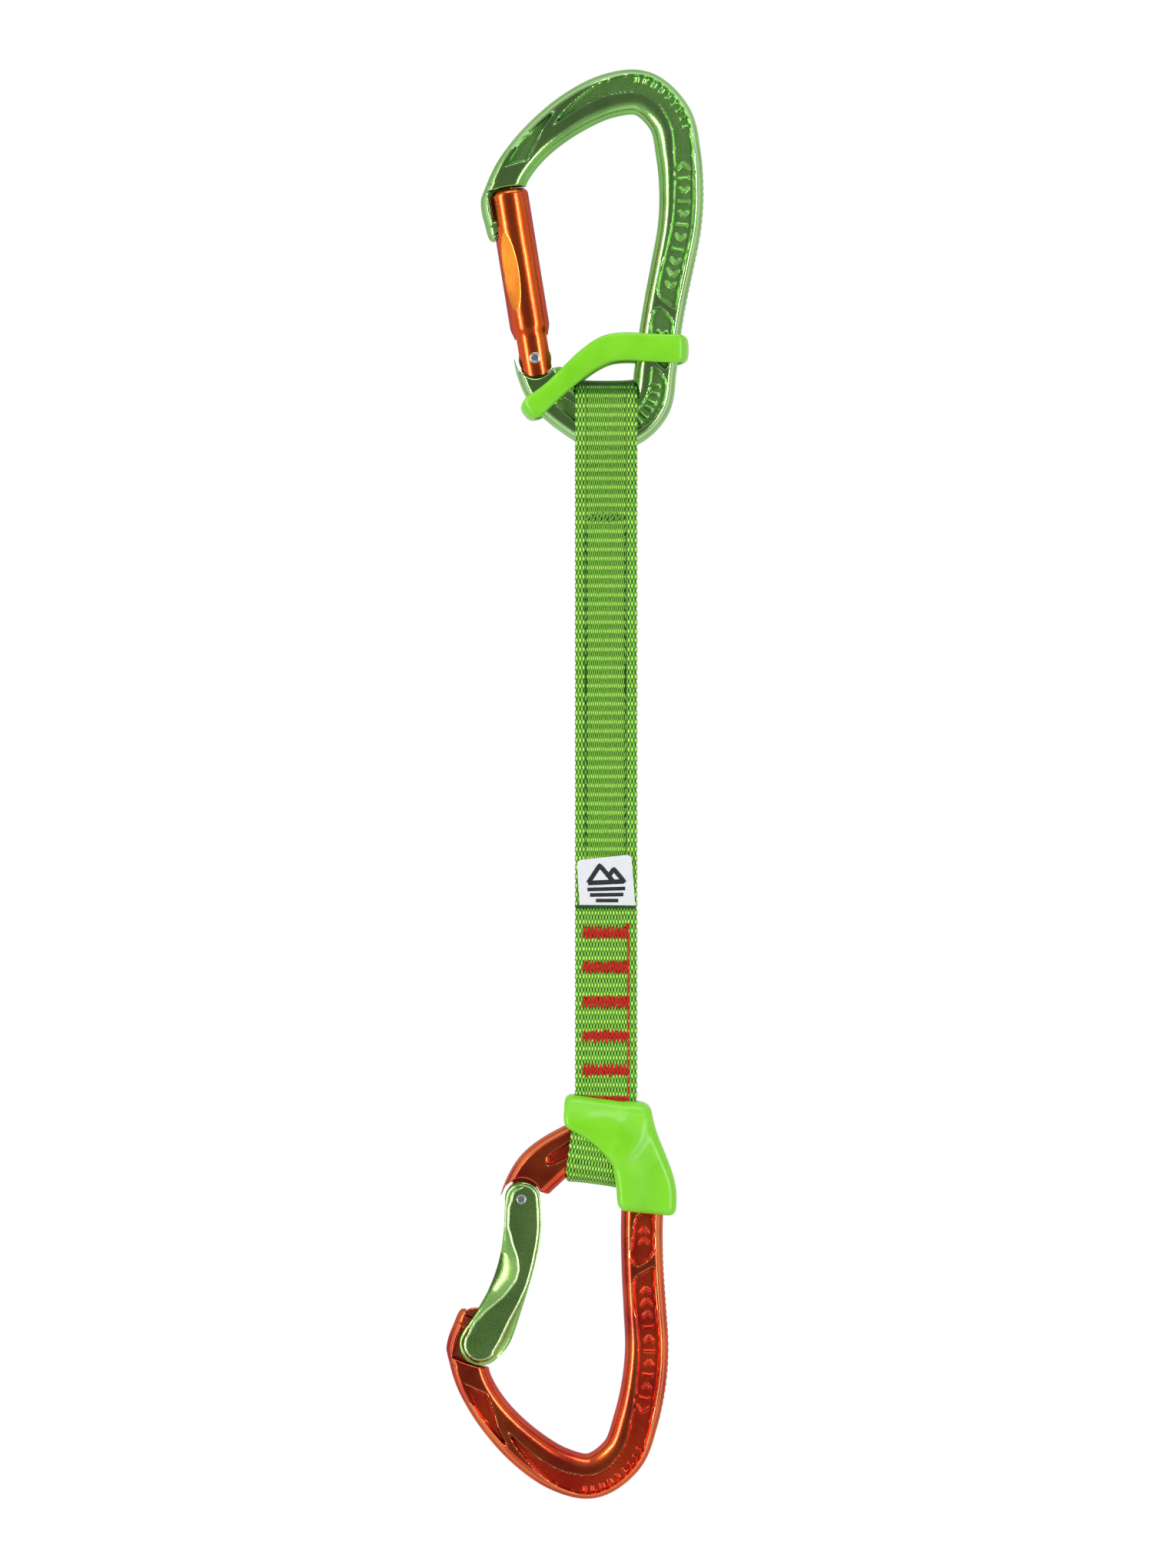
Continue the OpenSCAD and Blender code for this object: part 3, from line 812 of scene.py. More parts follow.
    faces = grid_faces(rings, n, wrap_cols=True)
    for base, flip in ((0, False), ((rings - 1) * n, True)):
        f = np.arange(cols) + base
        b = base + cols + len(wall) + (cols - 1 - np.arange(cols))
        cap = [[f[i], b[i], b[i + 1], f[i + 1]] for i in range(cols - 1)]
        cap.append([base + cols - 1, *range(base + cols, base + cols + len(wall)), base + cols + len(wall)])
        cap.append([base + 2 * cols + len(wall) - 1, *range(base + 2 * cols + len(wall), base + n), base])
        faces += [c[::-1] for c in cap] if flip else cap
    shell = Shell()
    # Pocket floors are darkened as painted shade, and the pale lines are painted highlight.
    shell.add(ring.reshape(-1, 3), faces, recess=spread(mask), worn=spread(np.clip(worn, 0, 1)))
    horn_verts, horn_faces, horn_highlight = nose_horn()
    shell.add(horn_verts, horn_faces, recess=0.0, worn=horn_highlight)
    # The key's neck and bulb get a little painted shade and a little painted highlight; the tang disc and
    # neck after them sit in the gate's slot and get more painted shade.
    shell.add(*prism(rounded_outline(NOSE_OUTLINE, 4, 0.6), KEY_NECK_HALF, 0.3), recess=0.3, worn=0.2)
    shell.add(*prism(key_bulb(), KEY_BULB_HALF, 0.5), recess=0.3, worn=0.2)
    half_disc = [(1.35, 1.45), (1.6, TANG_HALF), (4.0, TANG_HALF), (4.25, 1.45)]
    turned = [(r, -z) for r, z in half_disc] + half_disc[::-1]
    verts, faces = ring_lathe(turned, 72)
    shell.add(about_pivot(verts), faces, recess=0.6, worn=0.0)
    neck = [[-27.6, -66.2], [-22.4, -66.2], [-20.6, -70.4], [-25.6, -72.2], [-28.4, -69.6]]
    shell.add(*prism(rounded_outline(neck, 4, 0.6), TANG_HALF, 0.3), recess=0.6, worn=0.0)
    return shell


def nose_horn():
    """Lip of the nose that runs on down beside the gate, stepped near its tip."""
    s = np.array([1.3, 1.0, 0.7, 0.4, 0.15])
    at = line_at(BODY_LINE, s)
    outer = np.concatenate([at[:, :2] + line_side(BODY_LINE, s) * at[:, 2:] / 2, NOSE_LIP])
    outer, _ = smooth_path(outer, 0.2, 20)
    axis = np.array([math.sin(GATE_LEAN), math.cos(GATE_LEAN)])
    away = np.array([-axis[1], axis[0]])
    reach, along = (outer - PIVOT) @ away, (outer - PIVOT) @ axis
    clear = GATE_D / 2 + 0.12
    width = np.where(along > GATE_LEN + 2.2, 3.6, np.maximum(reach - clear, 0.05))
    width = np.minimum(blur(width, 9),
                       np.where(along > GATE_LEN + 0.8, 9, np.maximum(reach - clear, 0.05)))
    t = np.concatenate([np.linspace(0, 1, 22)[:-1] ** 1.3, [1]])
    d = width[:, None] * t
    high = 3.1 + 1.47 * smooth((outer[:, 1] + 30.0) / 0.5)
    high = high - 0.5 * smooth((-31.6 - outer[:, 1]) / 1.5)
    y = np.interp(d, RIM_D, RIM_Y) / 4.6 * high[:, None]
    y = y - 0.3 * np.clip(1 - (width[:, None] - d) / 0.3, 0, 1) ** 2
    p = outer[:, None] - away * d[..., None]
    front = np.stack([p[..., 0], -y, p[..., 1]], -1)
    ring = np.concatenate([front, mirrored(front)], 1)
    # Painted highlight: a pale line along the bevel near the top of the lip.
    worn = np.exp(-((y / high[:, None] - 0.85) / 0.065) ** 2)
    return ring.reshape(-1, 3), swept_faces(*ring.shape[:2]), np.concatenate([worn, worn[:, ::-1]], 1).ravel()


def key_bulb():
    """Outline of the key's bulb: the nose between two arcs about the pivot."""
    out = []
    for r, flip in ((KEY_R0, 1), (KEY_R1, -1)):
        angles = np.radians(np.linspace(85, 125, 400))
        p = PIVOT + r * np.stack([np.cos(angles), np.sin(angles)], 1)
        inside = p[polygon_distance(NOSE_OUTLINE, p) < -0.1]
        out.append(inside[np.linspace(0, len(inside) - 1, 12).astype(int)][::flip])
    return np.concatenate(out)


# ---------------------------------------------------------------- gates
def gate_tools(along):
    """Tools that cut the tang slot, key slot, rivet hole and plunger hole, in the gate's frame."""
    slot_half, rivet_r, bore_r, past_end = TANG_HALF + 0.2, 1.3, 1.45, 60
    tools = [box_tool((-10, -slot_half, -8), (10, slot_half, 5.75))]
    x = np.linspace(-15.7, 1.7, 30)
    low = np.stack([x, np.sqrt((KEY_R0 - 0.4) ** 2 - x ** 2)], 1)
    high = np.stack([x, np.sqrt((KEY_R1 + 0.35) ** 2 - x ** 2)], 1)
    tools.append(plain_prism(np.concatenate([low, [[x[-1], past_end], [x[0], past_end]]]),
                             KEY_NECK_HALF + 0.35))
    tools.append(plain_prism(np.concatenate([low, high[::-1]]), KEY_BULB_HALF + 0.35))
    a = circle(48)
    tools.append(plain_prism(np.stack([rivet_r * np.cos(a), rivet_r * np.sin(a)], 1), 12))
    bore_end = SPRING_HEAD + 0.3
    verts, faces = lathe([(0, 3.8), (bore_r, 3.8), (bore_r, bore_end), (0, bore_end)], 32)
    tools.append((verts + [SPRING_X, 0, 0], faces))
    return [(along(v), f) for v, f in tools]


def plain_prism(outline, half):
    p = outward(outline)
    n = len(p)
    verts = np.concatenate([np.stack([p[:, 0], np.full(n, y), p[:, 1]], 1) for y in (-half, half)])
    return verts, swept_faces(2, n)


def place_mesh(obj, place):
    co = np.zeros(len(obj.data.vertices) * 3)
    obj.data.vertices.foreach_get("co", co)
    obj.data.vertices.foreach_set("co", (place(co.reshape(-1, 3) / MM) * MM).ravel())
    obj.data.update()


def straight_gate():
    """Turned gate with a round foot, necked shoulders and a long shallow facet front and back."""
    top = [(GATE_D / 2 - 1.7 + 1.7 * math.cos(a), GATE_LEN - 1.6 + 1.6 * math.sin(a))
           for a in np.linspace(0, math.pi / 2, 10)]
    profile = [(0, -FOOT_R)] + [(r, -FOOT_R) for r in np.linspace(0.3, FOOT_D / 2 - 0.25, 14)]
    profile += [(FOOT_D / 2, z) for z in np.linspace(-4.6, 5.2, 22)]
    profile += [(FOOT_D / 2 + (GATE_D - FOOT_D) / 2 * smooth((z - 5.4) / 3.4), z)
                for z in np.linspace(5.5, 9, 12)]
    profile += [(GATE_D / 2, z) for z in np.arange(9.5, 42.4, 0.5)] + top
    profile += [(r, GATE_LEN) for r in (3.0, 2.0, 1.0)] + [(0, GATE_LEN)]
    verts, faces = lathe(profile, 176)
    x, y, z = verts.T
    z = np.maximum(z, -np.sqrt(np.maximum(FOOT_R ** 2 - x ** 2, 0)) * (z < 0) - 99 * (z >= 0))
    verts = np.stack([x, y, z], 1)
    facet = np.zeros(len(verts))
    for turn in (-1, 1):
        n = np.array([-math.cos(math.radians(57)), turn * math.sin(math.radians(57)), 0])
        limit = GATE_D / 2 - (0.58 - (verts[:, 2] - 23) ** 2 / 180)
        over = verts @ n - limit
        hit = (over > 0) & (verts[:, 2] > 9)
        verts[hit] -= over[hit, None] * n
        facet[hit] = 1
    # The facets are painted paler, as painted highlight.
    obj = make_mesh("upper_gate_turned", verts, faces, {"worn": facet * 0.4}, sharp=12)
    boolean(obj, gate_tools(lambda p: p))
    place_mesh(obj, gate_place)
    return obj


FACE_OUTER = ([0, .34, .84, 1.36, 1.77, 2.08, 2.41, 2.96, 3.49, 3.96, 4.7, 5],
              [2.9, 3.8, 4.0, 2.3, 0.2, -0.7, -0.7, 0.9, 3.7, 5.0, 4.7, 4.2])
FACE_INNER = ([0, .36, .91, 1.5, 2, 2.5, 3, 3.5, 3.9, 4.4, 5],
              [-3.9, -4.1, -4.2, -4.1, -4.1, -4.1, -3.7, -3.2, -3.2, -3.5, -4.2])


def bent_gate():
    """Forged bent gate: a flat face between two lines, with hollow scoops down to the edges."""
    last = len(BENT_LINE) - 1
    zones = (14, 5, 18, 5, 9)

    def across(lo, hi, left, right):
        rim = 0.35
        marks = [hi, left, np.maximum(left - rim, right), np.minimum(right + rim, left), right, lo]
        out = []
        for k, count in enumerate(zones):
            t = np.linspace(0, 1, count, endpoint=k == len(zones) - 1)
            out.append(marks[k][:, None] + (marks[k + 1] - marks[k])[:, None] * t)
        return np.concatenate(out, 1)

    def drop(width):
        return np.clip(0.75 * width, 0.5, 3.1)

    def height(u, lo, hi, left, right):
        y = np.full(u.shape, BENT_T / 2 - 0.12)
        wl, wr = np.maximum(hi - left, 1e-3)[:, None], np.maximum(right - lo, 1e-3)[:, None]
        tl, tr = np.clip((u - left[:, None]) / wl, 0, 1), np.clip((right[:, None] - u) / wr, 0, 1)
        y = y - drop(wl) * (1 - (1 - tl) ** 1.9) - drop(wr) * (1 - (1 - tr) ** 1.9)
        ridge = (np.exp(-((u - left[:, None] + 0.15) / 0.2) ** 2)
                 + np.exp(-((right[:, None] + 0.15 - u) / 0.2) ** 2))
        return y + 0.12 * np.clip(ridge, 0, 1)

    s = np.linspace(0, last, 230)
    w = line_at(BENT_LINE, s)[:, 2] / 2
    left, right = blur(np.interp(s, *FACE_OUTER), 15), blur(np.interp(s, *FACE_INNER), 15)
    u = across(-w, w, left, right)
    mid_y = height(u, -w, w, left, right)
    centre, side_dir = line_at(BENT_LINE, s)[:, :2], line_side(BENT_LINE, s)
    mid_p = centre[:, None] + side_dir[:, None] * u[..., None]

    def cap(at, way, r, face_l, face_r, end_inset):
        """Round end: rings that close on the end of a circle."""
        normal = side_dir[-1] if at == last else side_dir[0]
        ahead = np.array([normal[1], -normal[0]]) * way
        phi = np.radians(np.linspace(0, 90, 27))[1:]
        origin = line_at(BENT_LINE, np.array([float(at)]))[0, :2]
        half = r * np.cos(phi)
        far = r * np.sin(phi)

        def bound(face):
            room = r - (end_inset + (r - abs(face) - end_inset) * np.cos(phi))
            return np.sqrt(np.maximum(room ** 2 - far ** 2, 0))

        lf, rt = bound(face_l), -bound(face_r)
        uu = across(-half, half, lf, rt)
        dist = r - np.sqrt(uu ** 2 + far[:, None] ** 2)
        face = np.where(uu > 0, face_l, face_r)
        width = end_inset + (r - np.abs(face) - end_inset) * np.cos(phi)[:, None]
        t = np.clip(1 - dist / width, 0, 1)
        yy = BENT_T / 2 - 0.12 - drop(width) * (1 - (1 - t) ** 1.9)
        yy += 0.12 * np.exp(-((dist - width - 0.15) / 0.2) ** 2)
        return origin + ahead * far[:, None, None] + normal * uu[..., None], yy

    tip_p, tip_y = cap(last, 1, w[-1], left[-1], right[-1], 1.0)
    foot_p, foot_y = cap(0, -1, w[0], left[0], right[0], 0.7)
    p = np.concatenate([foot_p[::-1], mid_p, tip_p])
    y = np.concatenate([foot_y[::-1], mid_y, tip_y])
    n_rows, cols = y.shape
    front = np.stack([p[..., 0], -y, p[..., 1]], -1)
    wall = np.array([0.7, 0.35, 0, -0.35, -0.7])

    def side_wall(col):
        pts = front[:, col][:, None] * [1, 0, 1] + np.zeros((1, len(wall), 3))
        pts[..., 1] = -y[:, col][:, None] * wall
        return pts

    ring = np.concatenate([front, side_wall(cols - 1), mirrored(front), side_wall(0)[:, ::-1]], 1)
    n = ring.shape[1]
    # Painted highlight: the ridges along both edges of the flat face are painted pale.
    crest = np.exp(-((y - BENT_T / 2) / 0.06) ** 2)
    plain = np.zeros((n_rows, len(wall)))
    worn = np.concatenate([crest, plain, crest[:, ::-1], plain], 1)
    faces = grid_faces(n_rows, n, wrap_cols=True)
    for base in (0, (n_rows - 1) * n):
        f = base + np.arange(cols)
        b = base + cols + len(wall) + (cols - 1 - np.arange(cols))
        faces += [[f[i], b[i], b[i + 1], f[i + 1]] for i in range(cols - 1)]
    obj = make_mesh("lower_gate_forged", ring.reshape(-1, 3), faces,
                    {"worn": worn.ravel()}, sharp=30, merge=0.004)
    boolean(obj, gate_tools(gate_place))
    place_mesh(obj, lower_place)
    return obj


def rivet(name, place):
    """Hollow rivet with a rolled lip standing at each face of the gate."""
    half = FOOT_D / 2
    lip = [(r, half + z) for r, z in ((0.85, -0.9), (0.85, 0.02), (0.95, 0.14), (1.12, 0.2), (1.32, 0.16),
                                      (1.44, 0.04), (1.42, -0.04), (1.28, -0.1))]
    profile = [(r, -z) for r, z in lip] + [(r, z) for r, z in lip[::-1]]
    verts, faces = ring_lathe(profile, 56)
    end = half - 0.35
    plug, plug_faces = lathe([(0, -end), (0.84, -end), (0.84, end), (0, end)], 40)
    shell = Shell()
    for v, f in ((verts, faces), (plug, plug_faces)):
        shell.add(about_pivot(v), f)
    return shell.make(name, place)


def coil_spring(name, place):
    turns = 11
    t = np.linspace(0, 1, turns * 22)
    a = t * turns * 2 * math.pi
    height = SPRING_FOOT + (SPRING_HEAD - SPRING_FOOT) * smooth(t * 0.9 + 0.05)
    path = np.stack([SPRING_X + 1.12 * np.cos(a), 1.12 * np.sin(a), height], 1)
    verts, faces = tube(path, 0.2, 8, up=(0, 0, 1))
    return make_mesh(name, place(gate_place(verts)), faces)


# ---------------------------------------------------------------- webbing
STEP = ROW / 6
LABEL_TOP, LABEL_FOOT = -192.5, -200.0
LOOP_NECK = -90.2     # where the lower loop's two layers meet, in the carabiner's own frame
COARSE = 0.72         # how much coarser the floats are below the label
STITCH = 2.44         # length of one lock stitch


def smooth_path(points, step, round_off=0):
    """Points spaced evenly along a smooth open line."""
    p = np.asarray(points, float)
    line = np.concatenate([p, np.zeros((len(p), 1))], 1)
    s = np.linspace(0, len(p) - 1, 60 * len(p))
    q = line_at(line, s)[:, :p.shape[1]]
    for _ in range(round_off):
        q[1:-1] = (q[:-2] + 2 * q[1:-1] + q[2:]) / 4
    length = np.concatenate([[0], np.cumsum(np.linalg.norm(np.diff(q, axis=0), axis=1))])
    n = max(int(round(length[-1] / step)), 2) + 1
    even = np.linspace(0, length[-1], n)
    return np.stack([np.interp(even, length, q[:, k]) for k in range(p.shape[1])], 1), even


def band(path, along, s_values, bend=None, seam=None):
    """Closed strip of webbing. path is y and z of its middle; s_values is the place in the weave."""
    n = len(path)
    t = np.gradient(path, axis=0)
    t /= np.linalg.norm(t, axis=1, keepdims=True)
    out = np.stack([t[:, 1], -t[:, 0]], 1) * along        # to the outer face
    x_out = np.concatenate([-8 + 0.9 * (1 - np.cos(np.linspace(0, math.pi / 2, 7))),
                            np.linspace(-7.1, 7.1, 60)[1:-1],
                            8 - 0.9 * (1 - np.cos(np.linspace(math.pi / 2, 0, 7)))])
    h_out = 1.1 * np.sqrt(np.clip(1 - (np.clip(np.abs(x_out) - 7.1, 0, 0.9) / 0.9) ** 2, 0, 1))
    x_in = np.linspace(7.6, -7.6, 16)
    x = np.concatenate([x_out, x_in])
    h = np.concatenate([h_out, np.full(len(x_in), -1.08)])
    outer = np.concatenate([np.ones(len(x_out)), np.zeros(len(x_in))])
    rib = 0.12 * np.cos(np.pi * s_values / ROW)
    # Outer edge wanders a little where each pick turns back
    edge = np.clip(np.abs(x) - 7.0, 0, 1)
    xx = x[None] + np.sign(x)[None] * edge * 0.16 * np.cos(np.pi * s_values / ROW + 0.6)[:, None]
    hh = h[None] + outer * rib[:, None] * (1 - 0.5 * edge)
    # Painted shade: the strip is darkened toward the fold at the top of the upper loop.
    painted_shade = np.zeros(hh.shape) + 0.8 * smooth((path[:, 1][:, None] + 75.8) / 5.5)
    if seam is not None:
        z_of = path[:, 1][:, None]
        on = smooth((z_of - seam[0]) / 1.5) * smooth((seam[1] - z_of) / 1.5)
        # The seams press dents into the outer face, and the dents are painted in shade.
        for gx in (-5.3, 5.0):
            dent = np.exp(-((x[None] - gx) / 0.26) ** 2) * on * outer
            painted_shade = np.maximum(painted_shade, dent)
            hh = hh - 0.22 * dent
    # Where the strip crosses the window it is pressed narrower, and its edges curl up
    tight = 1 - smooth((np.abs(path[:, 0]) - 2.4) / 2.2)
    apex = path[n // 2, 1]
    tight = tight * (np.abs(path[:, 0]).max() > 5) * smooth((5.0 - np.abs(path[:, 1] - apex)) / 2)
    squeeze = 1 - 0.06 * tight
    px = xx * squeeze[:, None]
    lift = 0.35 * tight[:, None] * (np.abs(x[None]) / 8) ** 3
    py = path[:, 0][:, None] + out[:, 0][:, None] * hh
    pz = path[:, 1][:, None] + out[:, 1][:, None] * hh + lift * np.sign(path[n // 2, 1] - path[0, 1])
    pts = np.stack([px, py, pz], -1)
    if bend is not None:
        pts = bend(pts.reshape(-1, 3)).reshape(pts.shape)
    coarse = np.maximum(smooth((np.abs(x) - 5.05) / 0.3)[None], COARSE * (path[:, 1] < LABEL_FOOT)[:, None])
    weave = np.stack(np.broadcast_arrays(x[None], s_values[:, None], coarse), -1)
    return pts.reshape(-1, 3), swept_faces(n, len(x)), weave.reshape(-1, 3), (painted_shade * 0.5).ravel()


def web_object(name, parts):
    verts, faces, weave, painted_shade, count = [], [], [], [], 0
    for v, f, w, g in parts:
        verts.append(v + [BAR_X, 0, 0])
        faces += [[i + count for i in q] for q in f]
        weave.append(w)
        painted_shade.append(g)
        count += len(v)
    return make_mesh(name, np.concatenate(verts), faces,
                     {"weave": np.concatenate(weave), "painted_shade": np.concatenate(painted_shade)}, sharp=70)


def loop_half(neck_z):
    """Middle of the webbing from the neck up to the fold: y and z on the front side."""
    half = BODY_T / 2 + 0.4
    layer = WEB_T / 2
    pts = [(1.11, neck_z), (half * 0.45 + layer, neck_z + (BAR_Z - 3 - neck_z) * 0.55),
           (half + layer, BAR_Z - 3)]
    pts += [((half + layer) * math.cos(a), -76 + (FOLD_Z + 76 - layer) * math.sin(a))
            for a in np.radians(range(0, 90, 15))]
    return pts + [(0, FOLD_Z - layer)]


def loop_path(half):
    """Even path up the front, over the fold and down the back."""
    return smooth_path([(-y, z) for y, z in half] + half[::-1][1:], STEP, 40)


def build_webbing():
    top_end, low_start = -126.0, -196.0
    # Piece A: the upper loop with both layers under it
    half = [(1.11, top_end), (1.11, top_end + 8), (1.11, -110)] + loop_half(-102.7)
    path, length = loop_path(half)
    s_a = -top_end - length
    a = web_object("webbing_upper_loop", [band(path, -1, s_a, seam=(-400, -106.5))])
    back_s = s_a[-1]
    # Piece B: two flat layers across the place where the strap flexes
    z = np.linspace(top_end, low_start, int(round((top_end - low_start) / STEP)) + 1)
    parts = []
    for y, along, s in ((-1.11, 1, -z), (1.11, -1, back_s - (top_end - z))):
        parts.append(band(np.stack([np.full(len(z), y), z], 1), along, s, seam=(-192, 0)))
    b = web_object("webbing_middle", parts)
    end_s = parts[1][2].reshape(len(z), -1, 3)[-1, 0, 1]
    # Piece C: the lower layers and the loop round the lower base, with the lean of the carabiner
    c0, s0 = math.cos(LOWER_LEAN), math.sin(LOWER_LEAN)
    half = [(1.11, low_start), (1.11, low_start - 8), (1.11, -240), (1.11, -254)]
    half += [(y, -257.6 - (zl - LOOP_NECK)) for y, zl in loop_half(LOOP_NECK)]
    path, length = loop_path(half)
    want = -low_start + length[-1]
    want = end_s + round((want - end_s) / (2 * ROW)) * 2 * ROW
    s_c = -low_start + length * (want + low_start) / length[-1]

    def bend(p):
        """Turns the strip in its own plane by the lean, smoothly between two heights."""
        z_top, z_low = -251.0, -263.0
        z_table = np.linspace(low_start + 20, -330, 1500)
        turn = LOWER_LEAN * smooth((z_top - z_table) / (z_top - z_low))
        dz = np.gradient(z_table)
        cx = np.cumsum(np.sin(turn) * dz)
        cz = np.cumsum(np.cos(turn) * dz)
        cx, cz = cx - cx[0], cz - cz[0] + z_table[0]
        # The straight part below the bend lands on the carabiner's own middle line
        target_x = -12.4 + BAR_X * c0 + 85 * s0 - BAR_X
        target_z = -348.4 - BAR_X * s0 + 85 * c0
        k = np.argmin(np.abs(cz - target_z))
        cx = cx + (target_x - cx[k]) * smooth((z_top - z_table) / (z_top - z_low))
        x0, z0 = np.interp(-p[:, 2], -z_table, cx), np.interp(-p[:, 2], -z_table, cz)
        a0 = np.interp(-p[:, 2], -z_table, turn)
        above = p[:, 2] > z_table[0]
        x0, z0, a0 = np.where(above, 0, x0), np.where(above, p[:, 2], z0), np.where(above, 0, a0)
        return np.stack([x0 + p[:, 0] * np.cos(a0), p[:, 1], z0 - p[:, 0] * np.sin(a0)], 1)

    c = web_object("webbing_lower_loop", [band(path, 1, s_c, bend=bend)])
    return a, b, c


# ---------------------------------------------------------------- stitching and label
def stitch_line(x, z_top, z_low, y_face):
    """Row of lock stitches sunk in the webbing, on both faces."""
    shell = Shell()
    for side in (-1, 1):
        z = z_top
        while z - 2.1 > z_low:
            length = 1.9 + 0.35 * rng.uniform(-1, 1)
            t = np.linspace(0, 1, 9)
            path = np.stack([x + 0.07 * rng.uniform(-1, 1) + 0.1 * (t - 0.5) * rng.uniform(-1, 1),
                             side * (y_face - 0.28 + 0.22 * np.sin(math.pi * t)), z - length * t], 1)
            shell.add(*tube(path, 0.24 * np.sqrt(np.sin(math.pi * np.clip(t, 0.06, 0.94))), 8))
            z -= STITCH
    return shell


def bartack(shell, x0, x1, z_mid, tall, y_face, side, strands, slant=0.0, radius=0.25, jag=0.22):
    """Dense zigzag of thread over the webbing's face."""
    pts, radii = [], []
    xs = np.linspace(x0 + radius, x1 - radius, strands)
    for i, x in enumerate(xs):
        up = 1 if i % 2 == 0 else -1
        reach = tall / 2 + jag * rng.uniform(-1, 1)
        for t in np.linspace(-1, 1, 9):
            arch = math.cos(t * math.pi / 2)
            pts.append([x + (x1 - x0) / strands * 0.32 * t + slant * up * t,
                        side * (y_face - 0.08 + 0.3 * arch ** 0.7), z_mid + up * t * reach])
            radii.append(radius * (0.82 + 0.18 * arch))
    shell.add(*tube(np.array(pts), np.array(radii), 7, up=(0, -side, 0)))


def red_bartacks(name, side):
    shell = Shell()
    centres = [-212.9, -221.8, -230.8, -239.7, -248.6]
    for z in centres:
        bartack(shell, BAR_X - 6.1, BAR_X + 5.7, z, 2.9, WEB_T + 0.05, side, 23, jag=0.42)
    # Part of a sixth bartack shows above the collar
    bartack(shell, BAR_X - 5.6, BAR_X + 5.7, -256.4, 2.2, WEB_T, side, 23)
    x = BAR_X + 5.75
    z = np.linspace(centres[0] + 1.2, -256.5, 150)
    rise = WEB_T + 0.06 + 0.1 * np.cos(2 * math.pi * z / STITCH)
    path = np.stack([x + 0.12 * np.sin(z * 1.9), side * rise, z], 1)
    shell.add(*tube(path, 0.22, 7, up=(0, -side, 0)))
    a = np.linspace(0, 4 * math.pi, 40)
    knot = np.stack([x - 0.2 + 0.42 * np.cos(a), side * (WEB_T + 0.3 + 0.02 * a),
                     centres[0] + 1.9 + 0.42 * np.sin(a)], 1)
    shell.add(*tube(knot, 0.2, 7, up=(0, -side, 0)))
    return shell.make(name)


def label_point(u, v, lift):
    """A place on the label: u from its left edge to its right, v from its foot to its top."""
    corners = np.array([[[-13.6, -205.6], [0.85, -205.75]], [[-14.35, -194.0], [-0.15, -192.5]]])
    u, v = np.asarray(u, float), np.asarray(v, float)
    low = corners[0, 0] + (corners[0, 1] - corners[0, 0]) * u[..., None]
    high = corners[1, 0] + (corners[1, 1] - corners[1, 0]) * u[..., None]
    xz = low + (high - low) * v[..., None]
    y = -(WEB_T + 0.3 + 0.35 * np.sin(math.pi * np.clip(v, 0, 1)) ** 0.8 * (0.7 + 0.3 * np.sin(math.pi * u))
          + 0.3 * smooth((v - 0.7) / 0.3) * u + lift)
    return np.stack([xz[..., 0], y, xz[..., 1]], -1)


def label():
    cols, rows = 44, 40
    u, v = np.meshgrid(np.linspace(0, 1, cols), np.linspace(0, 1, rows))
    # Round the top corners
    corner = 0.09
    over = np.clip((v - (1 - corner)) / corner, 0, 1)
    pull = corner * 0.9 * (1 - np.sqrt(1 - over ** 2))
    u = pull + u * (1 - 2 * pull)
    sheets = []
    wave = 0.02 * np.sin(u * 60) * np.exp(-v * 9)
    for lift in (0.34 + wave, 0.0 + 0 * u):
        sheets.append(label_point(u, v, lift).reshape(-1, 3))
    n = rows * cols
    faces = grid_faces(rows, cols) + [f[::-1] for f in grid_faces(rows, cols, start=n)]
    rim = ([(0, j) for j in range(cols)] + [(i, cols - 1) for i in range(1, rows)]
           + [(rows - 1, j) for j in range(cols - 2, -1, -1)] + [(i, 0) for i in range(rows - 2, 0, -1)])
    ids = [i * cols + j for i, j in rim]
    for a, b in zip(ids, ids[1:] + ids[:1]):
        faces.append([a, b, b + n, a + n])
    return make_mesh("label_cloth", np.concatenate(sheets), faces, sharp=50)


def label_mark():
    """Generic embroidered mark: two closed peaks over three bars."""
    shell = Shell()
    strokes = [[(0.18, 0.48), (0.41, 0.84), (0.64, 0.48), (0.18, 0.48)],
               [(0.56, 0.6), (0.66, 0.74), (0.83, 0.48), (0.64, 0.48)],
               [(0.16, 0.34), (0.84, 0.34)], [(0.2, 0.22), (0.8, 0.22)],
               [(0.3, 0.1), (0.7, 0.1)]]
    for k, stroke in enumerate(strokes):
        pts = []
        for (a, b), (c, d) in zip(stroke, stroke[1:]):
            t = np.linspace(0, 1, 16)[:-1 if (c, d) != stroke[-1] else None]
            pts.append(np.stack([a + (c - a) * t, b + (d - b) * t], 1))
        q = np.concatenate(pts)
        shell.add(*tube(label_point(q[:, 0], q[:, 1], 0.34), 0.62 if k < 2 else 0.5, 8, flat=0.25))
    return shell.make("label_mark")


def label_stitching():
    """Close zigzag that holds the label's foot."""
    shell = Shell()
    t = np.linspace(0, 1, 27 * 6)
    x = -14.7 + 15.6 * t
    z = -206.15 - 0.05 * x / 15 + 0.28 * np.sin(t * 27 * 2 * math.pi)
    y = -(WEB_T + 0.32 + 0.16 * np.abs(np.cos(t * 27 * 2 * math.pi)))
    shell.add(*tube(np.stack([x, y, z], 1), 0.2, 7))
    straight = np.stack([x, -(WEB_T + 0.2 + 0 * x), -206.15 + 0 * x], 1)
    shell.add(*tube(straight, 0.36, 8, flat=0.7))
    return shell.make("label_stitching")


